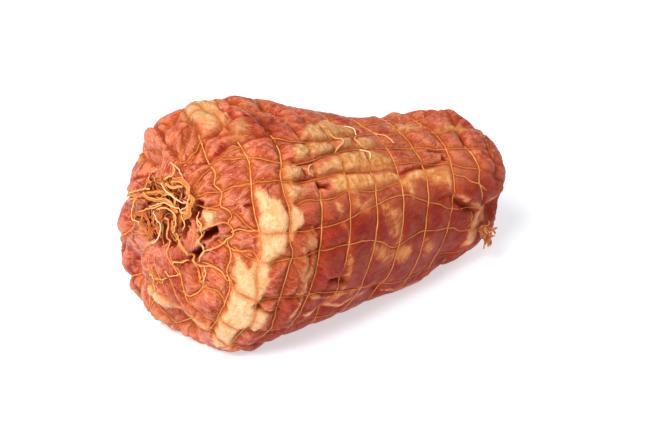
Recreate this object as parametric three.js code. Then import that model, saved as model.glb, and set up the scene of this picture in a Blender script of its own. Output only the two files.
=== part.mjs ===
// A smoked boneless boston butt: a pork shoulder pressed into a round bundle by an elastic net.
// It lies on its side, resting on a flat patch of its own underside.
//
// Millimetres, +Z up. The big end faces -X and the small end faces +X. The surface is described by
// two numbers: the distance along the roast's top line from the middle of the big end ("reach"),
// and the angle round the roast, which is 0 at +Y, 90 at the top, 180 at -Y and 270 underneath.
import * as THREE from "three";
import { mergeVertices } from "three/addons/utils/BufferGeometryUtils.js";

// ---- Driving dimensions --------------------------------------------------------------------

// The meat. A "station" is a place along the length, 0 at mid length.
const HALF_LENGTH = 135;
const BIG_END = { height: 149, halfWidth: 77.5 };
const SMALL_END = { height: 101, halfWidth: 42.5 };
const HEIGHT_TAPER = { from: -97, to: 76 };
const WIDTH_TAPER = { from: -77, to: 131 };
const SECTION_POWER = 2.24; // 2 is an ellipse, more is boxier
const PRESSED_FLAT = 6; // how much of the round underside its weight presses flat
const BIG_CAP = { depth: 68, power: 2.44, poleY: -8, poleZ: 105 };
const SMALL_CAP = { depth: 48, power: 2.1, poleY: -22, poleZ: 20 };
const BIG_END_SWING = { from: -60, to: -120, by: 11 }; // the big end bends towards +Y
const LEAN = 0.268; // shift along +X for each millimetre of height
const LEAN_HEIGHT = 60; // height at which the lean shifts nothing

// The net: rings round the roast and strands along it.
const RINGS = 14;
const STRANDS = 22;
const FIRST_RING = 50;
const LAST_RING = 335;
const RING_CROWDING = 0.2; // how much closer the rings lie at the ends than in the middle
const NET_WIDTH = 1.5;
const NET_THICKNESS = 1.3;
const NET_GAP = 1.6; // clear space between the net and the bottom of its groove
const NET_CLEARANCE = 0.4; // height of the net's underside above the table

// The meat bulges between the net's meshes.
const BULGE = 0.7; // how far a bulge stands out of the mean surface
const GROOVE_DEPTH = { plump: 3.2, firm: 2.0 };
const GROOVE_PER_PITCH = 0.17; // a groove is no deeper than this share of the strand spacing
const INSET = { along: 0.22, round: 0.38 }; // share of a mesh taken by each sloping side

// The gathers that close the net.
const GATHER = { reach: 34, swell: 9, swellAngle: 60, height: 10, lobes: 7, lobeDepth: 0.16, gap: 0.5 };
const STRAND_END_GAP = 1.6; // from the front gather to the strand ends round it
const TAIL = { radius: 5.5, lobes: 5, lobeDepth: 0.22 };

// The middle of the finished part's box, which becomes the origin in X and Y.
const MIDDLE = { x: -0.4, y: 1.7 };

const COLOURS = { meat: 0xb7603f, net: 0xd0905a, gather: 0xc98a50, tail: 0x8a5534 };

// ---- The surface of the roast -------------------------------------------------------------

const radians = THREE.MathUtils.degToRad;
const lerp = THREE.MathUtils.lerp;

function ease(from, to, value) {
  const t = THREE.MathUtils.clamp((value - from) / (to - from), 0, 1);
  return t * t * (3 - 2 * t);
}

function heightAt(station) {
  return lerp(BIG_END.height, SMALL_END.height, ease(HEIGHT_TAPER.from, HEIGHT_TAPER.to, station));
}

function halfWidthAt(station) {
  return lerp(BIG_END.halfWidth, SMALL_END.halfWidth, ease(WIDTH_TAPER.from, WIDTH_TAPER.to, station));
}

// The top line from pole to pole, as a curve of (station, half height). Both ends are quarter
// superellipses, and "size" is the share of the full cross-section that is left there.
class TopLine extends THREE.Curve {
  getPoint(t) {
    const { station, size } = this.place(t);
    return new THREE.Vector2(station, (size * heightAt(station)) / 2);
  }

  place(t) {
    const third = Math.min(Math.floor(t * 3), 2);
    const part = t * 3 - third;
    const frontEdge = -HALF_LENGTH + BIG_CAP.depth;
    const backEdge = HALF_LENGTH - SMALL_CAP.depth;
    if (third === 1) {
      return { station: lerp(frontEdge, backEdge, part), size: 1 };
    }
    const cap = third === 0 ? BIG_CAP : SMALL_CAP;
    const turn = (Math.PI / 2) * (third === 0 ? part : 1 - part);
    const inwards = cap.depth * (1 - Math.max(Math.cos(turn), 0) ** (2 / cap.power));
    const size = Math.sin(turn) ** (2 / cap.power);
    return { station: third === 0 ? -HALF_LENGTH + inwards : HALF_LENGTH - inwards, size };
  }
}

const topLine = new TopLine();
topLine.arcLengthDivisions = 1500;
const WHOLE_REACH = topLine.getLength();

function placeAt(reach) {
  return topLine.place(topLine.getUtoTmapping(reach / WHOLE_REACH));
}

// A point of the mean surface, before the underside is pressed flat.
function roundPoint(reach, angle) {
  const { station, size } = placeAt(reach);
  const cap = station < 0 ? BIG_CAP : SMALL_CAP;
  const c = Math.cos(radians(angle));
  const s = Math.sin(radians(angle));
  const n = SECTION_POWER;
  const radius = size * (Math.abs(c) ** n + Math.abs(s) ** n) ** (-1 / n);
  const height = heightAt(station);
  const swing = BIG_END_SWING.by * ease(BIG_END_SWING.from, BIG_END_SWING.to, station);
  const middleY = swing * size + cap.poleY * (1 - size);
  const middleZ = lerp((height - PRESSED_FLAT) / 2, cap.poleZ, 1 - size);
  const y = middleY + halfWidthAt(station) * radius * c;
  const z = middleZ + ((height + PRESSED_FLAT) / 2) * radius * s;
  return new THREE.Vector3(station + LEAN * (z - LEAN_HEIGHT), y, z);
}

function outwards(reach, angle) {
  const step = 0.5;
  const edge = 1;
  if (reach < edge) {
    return new THREE.Vector3(-1, 0, LEAN).normalize();
  }
  if (reach > WHOLE_REACH - edge) {
    return new THREE.Vector3(1, 0, -LEAN).normalize();
  }
  const along = roundPoint(reach + step, angle).sub(roundPoint(reach - step, angle));
  const round = roundPoint(reach, angle + step).sub(roundPoint(reach, angle - step));
  return round.cross(along).normalize();
}

// A point that stands "rise" above the mean surface and no lower than "floor".
function skinPoint(reach, angle, rise, floor) {
  const point = roundPoint(reach, angle).addScaledVector(outwards(reach, angle), rise);
  point.z = Math.max(point.z, floor);
  return point;
}

// ---- Where the net runs ---------------------------------------------------------------------

function ringReach(i) {
  const t = i / (RINGS - 1);
  const crowded = t - (RING_CROWDING * Math.sin(2 * Math.PI * t)) / (2 * Math.PI);
  return lerp(FIRST_RING, LAST_RING, crowded);
}

// The strands bunch together on top of the big end, sag a little along the middle, climb towards
// the small end on the near side, and waver.
function strandAngle(j, reach) {
  const { station } = placeAt(reach);
  const even = (360 / STRANDS) * j;
  const bunch = -13 * ease(10, -50, station) * Math.sin(radians(2 * (even - 142)));
  const sag = -3 * Math.exp(-(((station - 35) / 30) ** 2));
  const climb = 11 * ease(60, 100, station) * Math.max(0, Math.cos(radians(even - 160)));
  const waver = 2 * Math.sin(2.4 * j + station / 40);
  return even + bunch + sag + climb + waver;
}

// The near side is firm and the net lies almost flush there; elsewhere the meat bulges more.
function grooveDepth(reach, angle) {
  const halfMesh = 180 / STRANDS;
  const pitch = roundPoint(reach, angle + halfMesh).distanceTo(roundPoint(reach, angle - halfMesh));
  const { station } = placeAt(reach);
  const firmness = ease(-60, 10, station) * Math.max(0, -Math.cos(radians(angle)));
  const depth = lerp(GROOVE_DEPTH.plump, GROOVE_DEPTH.firm, firmness);
  return Math.min(depth, GROOVE_PER_PITCH * pitch);
}

const FLOOR = {
  bulge: 0,
  netOuter: NET_CLEARANCE,
  netInner: NET_CLEARANCE + NET_THICKNESS,
  groove: NET_CLEARANCE + NET_THICKNESS + NET_GAP,
};

function groovePoint(reach, angle) {
  return skinPoint(reach, angle, BULGE - grooveDepth(reach, angle), FLOOR.groove);
}

// The front gather's edge: it spreads wider towards one side.
function gatherEdge(angle) {
  return GATHER.reach + GATHER.swell * Math.cos(radians(angle - GATHER.swellAngle));
}

const ringReaches = Array.from({ length: RINGS }, (_, i) => ringReach(i));
const strandIndices = Array.from({ length: STRANDS }, (_, j) => j);
const nextStrand = (j) => (j + 1) % STRANDS;

// The angle of a mesh's side at a share of the way from one strand to the next.
function meshAngle(j, share, reach) {
  return lerp(strandAngle(j, reach), strandAngle(j + 1, reach), share);
}

// ---- Building closed bodies from triangles --------------------------------------------------

class Body {
  constructor() {
    this.positions = [];
  }

  triangle(a, b, c) {
    this.positions.push(a.x, a.y, a.z, b.x, b.y, b.z, c.x, c.y, c.z);
  }

  quad(a, b, c, d) {
    this.triangle(a, b, c);
    this.triangle(a, c, d);
  }

  // Joins two rows of points round the roast, the second one farther along it.
  band(row, next) {
    row.forEach((point, j) => {
      const k = (j + 1) % row.length;
      this.quad(point, row[k], next[k], next[j]);
    });
  }

  openFan(pole, row) {
    row.forEach((point, j) => this.triangle(pole, row[(j + 1) % row.length], point));
  }

  closeFan(row, pole) {
    row.forEach((point, j) => this.triangle(point, row[(j + 1) % row.length], pole));
  }

  // A closed body swept through rows of points, from one pole to the other.
  loft(start, rows, end) {
    this.openFan(start, rows[0]);
    rows.slice(1).forEach((row, i) => this.band(rows[i], row));
    this.closeFan(rows[rows.length - 1], end);
  }

  geometry() {
    const raw = new THREE.BufferGeometry();
    raw.setAttribute("position", new THREE.Float32BufferAttribute(this.positions, 3));
    const merged = mergeVertices(raw, 1e-4);
    merged.computeVertexNormals();
    return merged;
  }
}

// ---- The meat -------------------------------------------------------------------------------

// Under the front gather the meat is bare. Its rows lie at these shares of the way to the edge.
const UNDER_GATHER = [0.35, 0.7, 1];
const BEHIND_NET = [340, 345];

function gatherReach(j, share) {
  return share * gatherEdge(strandAngle(j, GATHER.reach));
}

function rowOf(reachOf) {
  return strandIndices.map((j) => groovePoint(reachOf(j), strandAngle(j, reachOf(j))));
}

function pole(reach, rise) {
  return skinPoint(reach, 0, rise, FLOOR.groove);
}

// One mesh of the net: four sloping sides from its grooves up to a raised middle.
function addBulge(body, near, far, j) {
  const corner = (reach, strand) => groovePoint(reach, strandAngle(strand, reach));
  const raised = (along, round) => {
    const reach = lerp(near, far, along);
    return skinPoint(reach, meshAngle(j, round, reach), BULGE, FLOOR.bulge);
  };
  const k = nextStrand(j);
  const low = [corner(near, j), corner(near, k), corner(far, k), corner(far, j)];
  const high = [
    raised(INSET.along, INSET.round),
    raised(INSET.along, 1 - INSET.round),
    raised(1 - INSET.along, 1 - INSET.round),
    raised(1 - INSET.along, INSET.round),
  ];
  low.forEach((point, side) => {
    const after = (side + 1) % 4;
    body.quad(point, low[after], high[after], high[side]);
  });
  body.quad(...high);
}

function meatGeometry() {
  const body = new Body();
  const lastReach = ringReaches[RINGS - 1];
  const front = UNDER_GATHER.map((share) => rowOf((j) => gatherReach(j, share)));
  front.push(rowOf(() => ringReaches[0]));
  body.openFan(pole(0, BULGE - GROOVE_DEPTH.firm), front[0]);
  front.slice(1).forEach((row, i) => body.band(front[i], row));
  ringReaches.slice(1).forEach((far, i) => {
    strandIndices.forEach((j) => addBulge(body, ringReaches[i], far, j));
  });
  const back = [lastReach, ...BEHIND_NET].map((reach) => rowOf(() => reach));
  back.slice(1).forEach((row, i) => body.band(back[i], row));
  body.closeFan(back[back.length - 1], pole(WHOLE_REACH, 0));
  return body.geometry();
}

// ---- The net --------------------------------------------------------------------------------

// A small block of net round a point of strand j. "round" and "along" are its directions, and the
// corners that it gives carry the bars that meet there.
function block(reach, j, round, along) {
  const angle = strandAngle(j, reach);
  const base = BULGE - grooveDepth(reach, angle) + NET_GAP;
  const inner = skinPoint(reach, angle, base, FLOOR.netInner);
  const outer = skinPoint(reach, angle, base + NET_THICKNESS, FLOOR.netOuter);
  const a1 = round.clone().setLength(NET_WIDTH / 2);
  const b1 = along.clone().setLength(NET_WIDTH / 2);
  return (a, b, isOuter) =>
    (isOuter ? outer : inner).clone().addScaledVector(a1, a).addScaledVector(b1, b);
}

function strandPoint(reach, j) {
  return groovePoint(reach, strandAngle(j, reach));
}

function crossing(i, j) {
  const ring = (k) => ringReaches[THREE.MathUtils.clamp(k, 0, RINGS - 1)];
  const round = strandPoint(ring(i), j + 1).sub(strandPoint(ring(i), j - 1));
  const along = strandPoint(ring(i + 1), j).sub(strandPoint(ring(i - 1), j));
  return block(ring(i), j, round, along);
}

function strandEnd(j) {
  const reach = gatherReach(j, 1) + STRAND_END_GAP;
  const round = strandPoint(reach, j + 1).sub(strandPoint(reach, j - 1));
  const along = strandPoint(ringReaches[0], j).sub(strandPoint(reach, j));
  return block(reach, j, round, along);
}

function addBlockFaces(body, node) {
  body.quad(node(-1, -1, true), node(1, -1, true), node(1, 1, true), node(-1, 1, true));
  body.quad(node(-1, 1, false), node(1, 1, false), node(1, -1, false), node(-1, -1, false));
}

// The side of a block that faces along its ring, for a of 1 or -1.
function roundFace(node, a) {
  return [node(a, -1, false), node(a, -1, true), node(a, 1, true), node(a, 1, false)];
}

// The side of a block that faces along its strand, for b of 1 or -1.
function alongFace(node, b) {
  return [node(-1, b, true), node(-1, b, false), node(1, b, false), node(1, b, true)];
}

// Joins the four corners of one block's side to the facing side of the next block.
function addBar(body, from, to) {
  from.forEach((point, side) => {
    const after = (side + 1) % 4;
    body.quad(point, to[side], to[after], from[after]);
  });
}

function netGeometry() {
  const body = new Body();
  const crossings = ringReaches.map((_, i) => strandIndices.map((j) => crossing(i, j)));
  crossings.forEach((ring, i) => {
    ring.forEach((node, j) => {
      addBlockFaces(body, node);
      addBar(body, roundFace(node, 1), roundFace(ring[nextStrand(j)], -1));
      if (i + 1 < RINGS) {
        addBar(body, alongFace(node, 1), alongFace(crossings[i + 1][j], -1));
      }
    });
  });
  strandIndices.map(strandEnd).forEach((node, j) => {
    addBlockFaces(body, node);
    body.quad(...roundFace(node, 1).reverse());
    body.quad(...roundFace(node, -1));
    body.quad(...alongFace(node, -1));
    addBar(body, alongFace(node, 1), alongFace(crossings[0][j], -1));
  });
  crossings[RINGS - 1].forEach((node) => body.quad(...alongFace(node, 1).reverse()));
  return body.geometry();
}

// ---- The gathers ----------------------------------------------------------------------------

// The net's loose end, bunched into a lobed rosette on the middle of the big end.
function frontGatherGeometry() {
  const body = new Body();
  const row = (share, height) =>
    strandIndices.map((j) => {
      const reach = gatherReach(j, share);
      const angle = strandAngle(j, reach);
      const lobe = 1 + GATHER.lobeDepth * Math.cos(GATHER.lobes * radians(angle));
      const rise = BULGE - grooveDepth(reach, angle) + GATHER.gap + height * lobe;
      return skinPoint(reach, angle, rise, FLOOR.groove);
    });
  const dome = (share) => GATHER.height * Math.sqrt(1 - (share / 1.08) ** 2);
  const over = UNDER_GATHER.map((share) => row(share, dome(share)));
  const under = UNDER_GATHER.map((share) => row(share, 0)).reverse();
  const base = BULGE - GROOVE_DEPTH.firm + GATHER.gap;
  body.loft(pole(0, base + GATHER.height), [...over, ...under], pole(0, base));
  return body.geometry();
}

// The net's cut end, a short frayed tail that hangs from the middle of the small end.
function tailGeometry() {
  const root = pole(WHOLE_REACH, 0.5);
  const path = new THREE.CatmullRomCurve3([
    root,
    new THREE.Vector3(root.x + 6, root.y - 1, root.z - 2),
    new THREE.Vector3(root.x + 7, root.y - 3, root.z - 12),
  ]);
  const steps = 6;
  const sides = 15;
  const frames = path.computeFrenetFrames(steps);
  const rows = Array.from({ length: steps - 1 }, (_, i) => {
    const t = (i + 1) / steps;
    const middle = path.getPointAt(t);
    const swell = TAIL.radius * Math.sin(Math.PI * t) ** 0.5;
    return Array.from({ length: sides }, (_unused, k) => {
      const turn = (2 * Math.PI * k) / sides;
      const radius = swell * (1 + TAIL.lobeDepth * Math.cos(TAIL.lobes * turn));
      return middle
        .clone()
        .addScaledVector(frames.normals[i + 1], radius * Math.cos(turn))
        .addScaledVector(frames.binormals[i + 1], radius * Math.sin(turn));
    });
  });
  const body = new Body();
  body.loft(path.getPointAt(0), rows, path.getPointAt(1));
  return body.geometry();
}

// ---- The assembled part ---------------------------------------------------------------------

function part(name, geometry, color, roughness) {
  const material = new THREE.MeshStandardMaterial({ color, roughness, metalness: 0, flatShading: true });
  const mesh = new THREE.Mesh(geometry, material);
  mesh.name = name;
  return mesh;
}

const roast = new THREE.Group();
roast.add(part("meat", meatGeometry(), COLOURS.meat, 0.45));
roast.add(part("net", netGeometry(), COLOURS.net, 0.7));
roast.add(part("net_gather_front", frontGatherGeometry(), COLOURS.gather, 0.7));
roast.add(part("net_tail_back", tailGeometry(), COLOURS.tail, 0.8));
roast.position.set(-MIDDLE.x, -MIDDLE.y, 0);

export default roast;
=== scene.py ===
"""A smoked boneless boston butt, pressed into a round bundle by an elastic net.

The meat, the net, the net's gather on the big end and its frayed tail on the small end are all
worked out on one surface. A place on it has two numbers: its reach, the distance in millimetres
along the roast's top line from the middle of the big end, and its angle round the roast, which is
0 at +Y, 90 on top, 180 at -Y and 270 underneath.
"""
import itertools
import math

import bpy
import numpy as np
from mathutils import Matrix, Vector


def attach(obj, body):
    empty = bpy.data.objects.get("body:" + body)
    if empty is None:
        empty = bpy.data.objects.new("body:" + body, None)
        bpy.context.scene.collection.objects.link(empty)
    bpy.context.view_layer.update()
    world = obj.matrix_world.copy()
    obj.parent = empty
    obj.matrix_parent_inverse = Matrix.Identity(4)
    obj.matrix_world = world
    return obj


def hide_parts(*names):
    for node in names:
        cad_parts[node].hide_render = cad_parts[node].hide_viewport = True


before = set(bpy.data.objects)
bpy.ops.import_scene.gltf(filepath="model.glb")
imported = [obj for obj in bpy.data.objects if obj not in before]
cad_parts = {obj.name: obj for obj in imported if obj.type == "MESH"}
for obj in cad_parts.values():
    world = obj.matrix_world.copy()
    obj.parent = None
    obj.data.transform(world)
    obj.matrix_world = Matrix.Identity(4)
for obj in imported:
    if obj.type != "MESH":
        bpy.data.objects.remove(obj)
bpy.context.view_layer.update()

MM = 0.001

# ---- Sizes of the roast, the same as its solids ----------------------------------------------

HALF_LENGTH = 135.0
BIG_HEIGHT, SMALL_HEIGHT = 149.0, 101.0
BIG_HALF_WIDTH, SMALL_HALF_WIDTH = 77.5, 42.5
SECTION_POWER = 2.24
PRESSED_FLAT = 6.0
BIG_CAP = {"depth": 68.0, "power": 2.44, "y": -8.0, "z": 105.0}
SMALL_CAP = {"depth": 48.0, "power": 2.1, "y": -22.0, "z": 20.0}
LEAN, LEAN_HEIGHT = 0.268, 60.0
SHIFT = np.array([0.4, -1.7, 0.0])
HEIGHT_FALLS, WIDTH_FALLS = (-97.0, 76.0), (-77.0, 131.0)
BIG_END_SWING = 11.0
BULGE = 0.7
FAR_AWAY = 99.0


def ease(start, end, value):
    """A smooth step from 0 to 1: t squared times (3 - 2t), t being the share of the way."""
    t = np.clip((value - start) / (end - start), 0.0, 1.0)
    return t * t * (3.0 - 2.0 * t)


def lerp(a, b, t):
    """The straight blend: a where t is 0, b where t is 1."""
    return a + (b - a) * t


def height_at(station):
    """The section's height, from the big end's to the small end's by a smooth step."""
    return lerp(BIG_HEIGHT, SMALL_HEIGHT, ease(*HEIGHT_FALLS, station))


def half_width_at(station):
    """Half the section's width, from the big end's to the small end's by a smooth step."""
    return lerp(BIG_HALF_WIDTH, SMALL_HALF_WIDTH, ease(*WIDTH_FALLS, station))


def cap_curve(cap):
    """A quarter superellipse: how far in from the pole, and the share of the full section."""
    turn = np.linspace(0.0, np.pi / 2, 500)
    inwards = cap["depth"] * (1 - np.cos(turn).clip(0) ** (2 / cap["power"]))
    return inwards, np.sin(turn) ** (2 / cap["power"])


def top_line():
    """The two caps with a straight middle between them, as station, size and arc length."""
    front_in, front_size = cap_curve(BIG_CAP)
    back_in, back_size = cap_curve(SMALL_CAP)
    middle = np.linspace(BIG_CAP["depth"] - HALF_LENGTH, HALF_LENGTH - SMALL_CAP["depth"], 500)[1:-1]
    station = np.concatenate([front_in - HALF_LENGTH, middle, (HALF_LENGTH - back_in)[::-1]])
    size = np.concatenate([front_size, np.ones(len(middle)), back_size[::-1]])
    steps = np.hypot(np.diff(station), np.diff(size * height_at(station) / 2))
    return station, size, np.concatenate([[0.0], np.cumsum(steps)])


TOP_STATION, TOP_SIZE, TOP_REACH = top_line()
WHOLE_REACH = TOP_REACH[-1]


def station_at(reach):
    """The distance along the roast that belongs to a reach, read off the top line."""
    return np.interp(reach, TOP_REACH, TOP_STATION)


def round_point(reach, angle):
    """A superellipse section, scaled by its place on the top line, swung, leant and lowered."""
    station = station_at(reach)
    size = np.interp(reach, TOP_REACH, TOP_SIZE)
    c, s = np.cos(np.radians(angle)), np.sin(np.radians(angle))
    n = SECTION_POWER
    radius = size * (np.abs(c) ** n + np.abs(s) ** n) ** (-1 / n)
    height = height_at(station)
    swing = BIG_END_SWING * ease(-60.0, -120.0, station)
    pole_y = np.where(station < 0, BIG_CAP["y"], SMALL_CAP["y"])
    pole_z = np.where(station < 0, BIG_CAP["z"], SMALL_CAP["z"])
    y = swing * size + pole_y * (1 - size) + half_width_at(station) * radius * c
    z = lerp((height - PRESSED_FLAT) / 2, pole_z, 1 - size) + (height + PRESSED_FLAT) / 2 * radius * s
    return np.stack([station + LEAN * (z - LEAN_HEIGHT), y, z], -1) + SHIFT


def place_at(reach, angle):
    """One place on the surface, from one reach and one angle."""
    return round_point(np.array([float(reach)]), np.array([float(angle)]))[0]


def unit(vectors):
    """Each vector over its own length."""
    return vectors / np.maximum(np.linalg.norm(vectors, axis=-1, keepdims=True), 1e-9)


def outwards(reach, angle):
    """The cross product of the surface's two directions, from small differences."""
    reach = np.clip(reach, 1.5, WHOLE_REACH - 1.5)
    along = round_point(reach + 0.5, angle) - round_point(reach - 0.5, angle)
    around = round_point(reach, angle + 0.5) - round_point(reach, angle - 0.5)
    return unit(np.cross(around, along))


# ---- Tools for shapes ------------------------------------------------------------------------

SLOPES = unit(np.random.default_rng(11).normal(size=(256, 3)))


def slope_at(cell):
    """A fixed random slope for each cell of a lattice: its numbers times primes, mixed bit by bit."""
    mixed = cell[..., 0] * 73856093 ^ cell[..., 1] * 19349663 ^ cell[..., 2] * 83492791
    return SLOPES[(mixed ^ (mixed >> 9)) & 255]


def noise(points, size, seed=0):
    """Gradient noise, about -1 to 1: random slopes on a cubic lattice, blended by a quintic."""
    q = points / size + np.array([3.7, 9.1, 5.3]) * (seed + 1)
    cell = np.floor(q).astype(np.int64)
    part = q - cell
    blend = part ** 3 * (part * (part * 6 - 15) + 10)
    total = 0.0
    for corner in itertools.product((0, 1), repeat=3):
        slope = slope_at(cell + np.array(corner))
        share = np.prod(np.where(np.array(corner) == 1, blend, 1 - blend), -1)
        total = total + share * ((part - np.array(corner)) * slope).sum(-1)
    return total * 1.7


def lobules(points, size, seed=0):
    """Cells round one middle in each cube of a lattice. Gives how far the nearest middle is, and how
    much nearer it is than the next one, both as shares of the lattice's size."""
    q = points / size + np.array([5.1, 2.3, 8.7]) * (seed + 1)
    cell = np.floor(q).astype(np.int64)
    first = np.full(q.shape[:-1], 9.0)
    second = first.copy()
    for step in itertools.product((-1, 0, 1), repeat=3):
        place = cell + np.array(step)
        gap = np.linalg.norm(q - place - 0.5 - 0.45 * slope_at(place), axis=-1)
        second = np.minimum(second, np.maximum(first, gap))
        first = np.minimum(first, gap)
    return first, second - first


def smooth_rows(rows, count):
    """A Catmull-Rom curve through rows of numbers, sampled evenly from row to row."""
    rows = np.asarray(rows, float)
    padded = np.vstack([2 * rows[0] - rows[1], rows, 2 * rows[-1] - rows[-2]])
    t = np.linspace(0, len(rows) - 1, count)
    i = np.minimum(t.astype(int), len(rows) - 2)
    u = (t - i)[:, None]
    a, b, c, d = (padded[i + k] for k in range(4))
    curve = 2 * b + (c - a) * u + (2 * a - 5 * b + 4 * c - d) * u ** 2
    return 0.5 * (curve + (3 * b - a - 3 * c + d) * u ** 3)


def wrapped(angle):
    """An angle brought into -180 to 180 by whole turns."""
    return (angle + 180.0) % 360.0 - 180.0


def settle(values, reach_of_mean):
    """A running mean along a line, which is how a taut string evens out what it lies on."""
    kernel = np.hanning(reach_of_mean * 2 + 3)[1:-1]
    padded = np.pad(values, reach_of_mean, mode="edge")
    return np.convolve(padded, kernel / kernel.sum(), "valid")


def make_mesh(name, points, quads, triangles=()):
    """Puts arrays of points, four-cornered faces and triangles into a smooth mesh, in metres."""
    faces = [*np.asarray(quads).tolist(), *np.asarray(triangles, int).reshape(-1, 3).tolist()]
    mesh = bpy.data.meshes.new(name)
    mesh.from_pydata((points * MM).tolist(), [], faces)
    mesh.polygons.foreach_set("use_smooth", np.ones(len(faces), bool))
    mesh.update()
    piece = bpy.data.objects.new(name, mesh)
    bpy.context.scene.collection.objects.link(piece)
    return piece


def keep_numbers(piece, name, values):
    """Stores one number or one vector for each point of a piece, for its finish to read."""
    values = np.ascontiguousarray(values, np.float32)
    kind, field = ("FLOAT", "value") if values.ndim == 1 else ("FLOAT_VECTOR", "vector")
    attribute = piece.data.attributes.new(name, kind, "POINT")
    attribute.data.foreach_set(field, values.ravel())


# ---- The net's lines -------------------------------------------------------------------------

RINGS = 14
FIRST_RING, LAST_RING = 50.0, 335.0
RING_CROWDING = 0.2

# Strands on the near side and the top: rows of station along the roast and angle.
STRAND_ROUTES = (
    ((-113, 70), (-70, 80), (-30, 86), (11, 86), (51, 78), (90, 74), (120, 78)),
    ((-113, 98), (-77, 110), (-41, 113), (-12, 105), (4, 102), (36, 97), (64, 94), (79, 105), (120, 100)),
    ((-113, 116), (-95, 122), (-65, 126), (-27, 119), (8, 115), (48, 113), (66, 120), (88, 127),
     (120, 130)),
    ((-113, 134), (-58, 135), (-16, 130), (35, 126), (55, 129), (72, 134), (91, 144), (120, 150)),
    ((-113, 148), (-97, 158), (-45, 157), (-6, 149), (18, 146), (33, 148), (58, 158), (84, 170),
     (120, 176)),
    ((-113, 166), (-95, 172), (-42, 169), (-6, 169), (19, 177), (44, 173), (73, 180), (90, 189),
     (120, 196)),
    ((-113, 185), (-92, 192), (-53, 193), (-22, 197), (11, 204), (40, 211), (80, 214), (120, 220)),
    ((-113, 207), (-92, 213), (-53, 216), (-22, 219), (11, 224), (40, 230), (80, 238), (120, 244)),
)
# Loose ends and slanting strands that run between the others.
SHORT_ROUTES = (
    ((-75, 146), (-65, 144), (-51, 145), (-30, 142), (-4, 142), (20, 138)),
    ((-74, 99), (-61, 98), (-52, 96), (-45, 98), (-34, 95)),
)
FAR_STRANDS = 13
STATION_TO_REACH = 184.0


def ring_middle(i):
    """A ring's mean reach: evenly spread, less a sine that crowds the rings towards both ends."""
    t = i / (RINGS - 1)
    return lerp(FIRST_RING, LAST_RING, t - RING_CROWDING * math.sin(2 * math.pi * t) / (2 * math.pi))


# The second ring runs unevenly where it crosses the near half of the big end.
FRONT_RING = ((72, 70), (73, 83), (66, 96), (62, 112), (64, 122), (60, 130), (64, 136), (61, 143),
              (66, 146),
              (69, 150), (66, 153), (70, 157), (70, 161), (67, 164), (70, 169), (71, 174), (70, 181),
              (74, 188),
              (74, 196), (75, 206), (76, 216), (73, 240), (70, 275))
# Strands of the big end's face, near side: rows of reach and angle.
FACE_ROUTES = (
    ((66, 96), (58, 100), (49, 102), (44, 98)),
    ((66, 96), (74, 97), (85, 95), (94, 91)),
    ((69, 80), (60, 86), (53, 90), (46, 94), (43, 98)),
    ((51, 78), (48, 84), (46, 94)),
    ((72, 84), (69, 90), (66, 98), (60, 101), (54, 104), (49, 106)),
    ((86, 111), (86, 116), (87, 121), (86, 126), (84, 132)),
    ((65, 126), (60, 130), (64, 136), (62, 140)),
    ((69, 82), (64, 86), (57, 90), (50, 94), (46, 94)),
    ((48, 84), (46, 90), (45, 96)),
    ((41, 133), (48, 133), (57, 134), (63, 135), (73, 134), (84, 134)),
    ((70, 169), (76, 168), (82, 168), (88, 172)),
    ((51, 124), (44, 128), (39, 132)),
    ((45, 134), (42, 124), (53, 120), (63, 118)),
    ((62, 114), (68, 116), (78, 113), (86, 112)),
    ((44, 142), (53, 144), (63, 142)),
    ((69, 158), (76, 157), (88, 158)),
    ((60, 164), (65, 166), (70, 168), (80, 168)),
    ((49, 184), (55, 182), (62, 182), (70, 184), (76, 187)),
    ((48, 190), (52, 196), (57, 197), (65, 195), (72, 197), (76, 202)),
    ((57, 197), (55, 204), (51, 214), (46, 218)),
    ((22, 208), (29, 214), (36, 211), (45, 216), (52, 220), (60, 217), (70, 216), (78, 216)),
    ((29, 214), (33, 204), (36, 196), (40, 191)),
    ((257, 141), (266, 147), (279, 155), (289, 161), (299, 164)),
    ((281, 178), (281, 184), (279, 188)),
    ((21, 256), (29, 258), (36, 250), (46, 244), (58, 238), (74, 234)),
    ((25, 284), (34, 271), (37, 264), (38, 252), (36, 244)),
    ((36, 270), (47, 276), (56, 268), (72, 262)),
)


UNEVEN_RINGS = {
    1: FRONT_RING,
    2: ((86, 100), (86, 112), (86, 124), (84, 134), (83, 144), (86, 158), (88, 168), (88, 180),
        (91, 190), (95, 204),
        (94, 225)),
    10: ((273, 112), (272, 120), (275, 131), (277, 138), (279, 146), (279, 153), (283, 160),
         (285, 166), (284, 174)),
    3: ((113, 92), (109, 104), (108, 116), (105, 126), (102, 133), (103, 142), (105, 152), (105, 162),
        (108, 169),
        (107, 178), (107, 188), (109, 198), (113, 214)),
}


def uneven(route, angle, plain):
    """A ring's plain reach, led through rows of reach and angle and eased back at both ends."""
    curve = smooth_rows(route, 200)
    order = np.argsort(curve[:, 1])
    led = np.interp(angle, curve[order, 1], curve[order, 0])
    share = ease(route[0][1] - 25, route[0][1], angle) * ease(route[-1][1] + 25, route[-1][1], angle)
    return lerp(plain, led, share)


def ring_lines():
    """Each ring as its reach for every angle, wavering a little between the strands."""
    angle = np.arange(0.0, 360.0, 0.8)
    lines = []
    for i in range(1, RINGS):
        plain = ring_middle(i) + np.zeros(len(angle))
        if i in UNEVEN_RINGS:
            plain = uneven(UNEVEN_RINGS[i], angle, plain)
        place = round_point(plain, angle)
        waver = (1.2 if i == 1 else 0.9) * noise(place, 16.0, 20 + i)
        lines.append({"angle": angle, "reach": plain + waver})
    return lines


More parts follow.
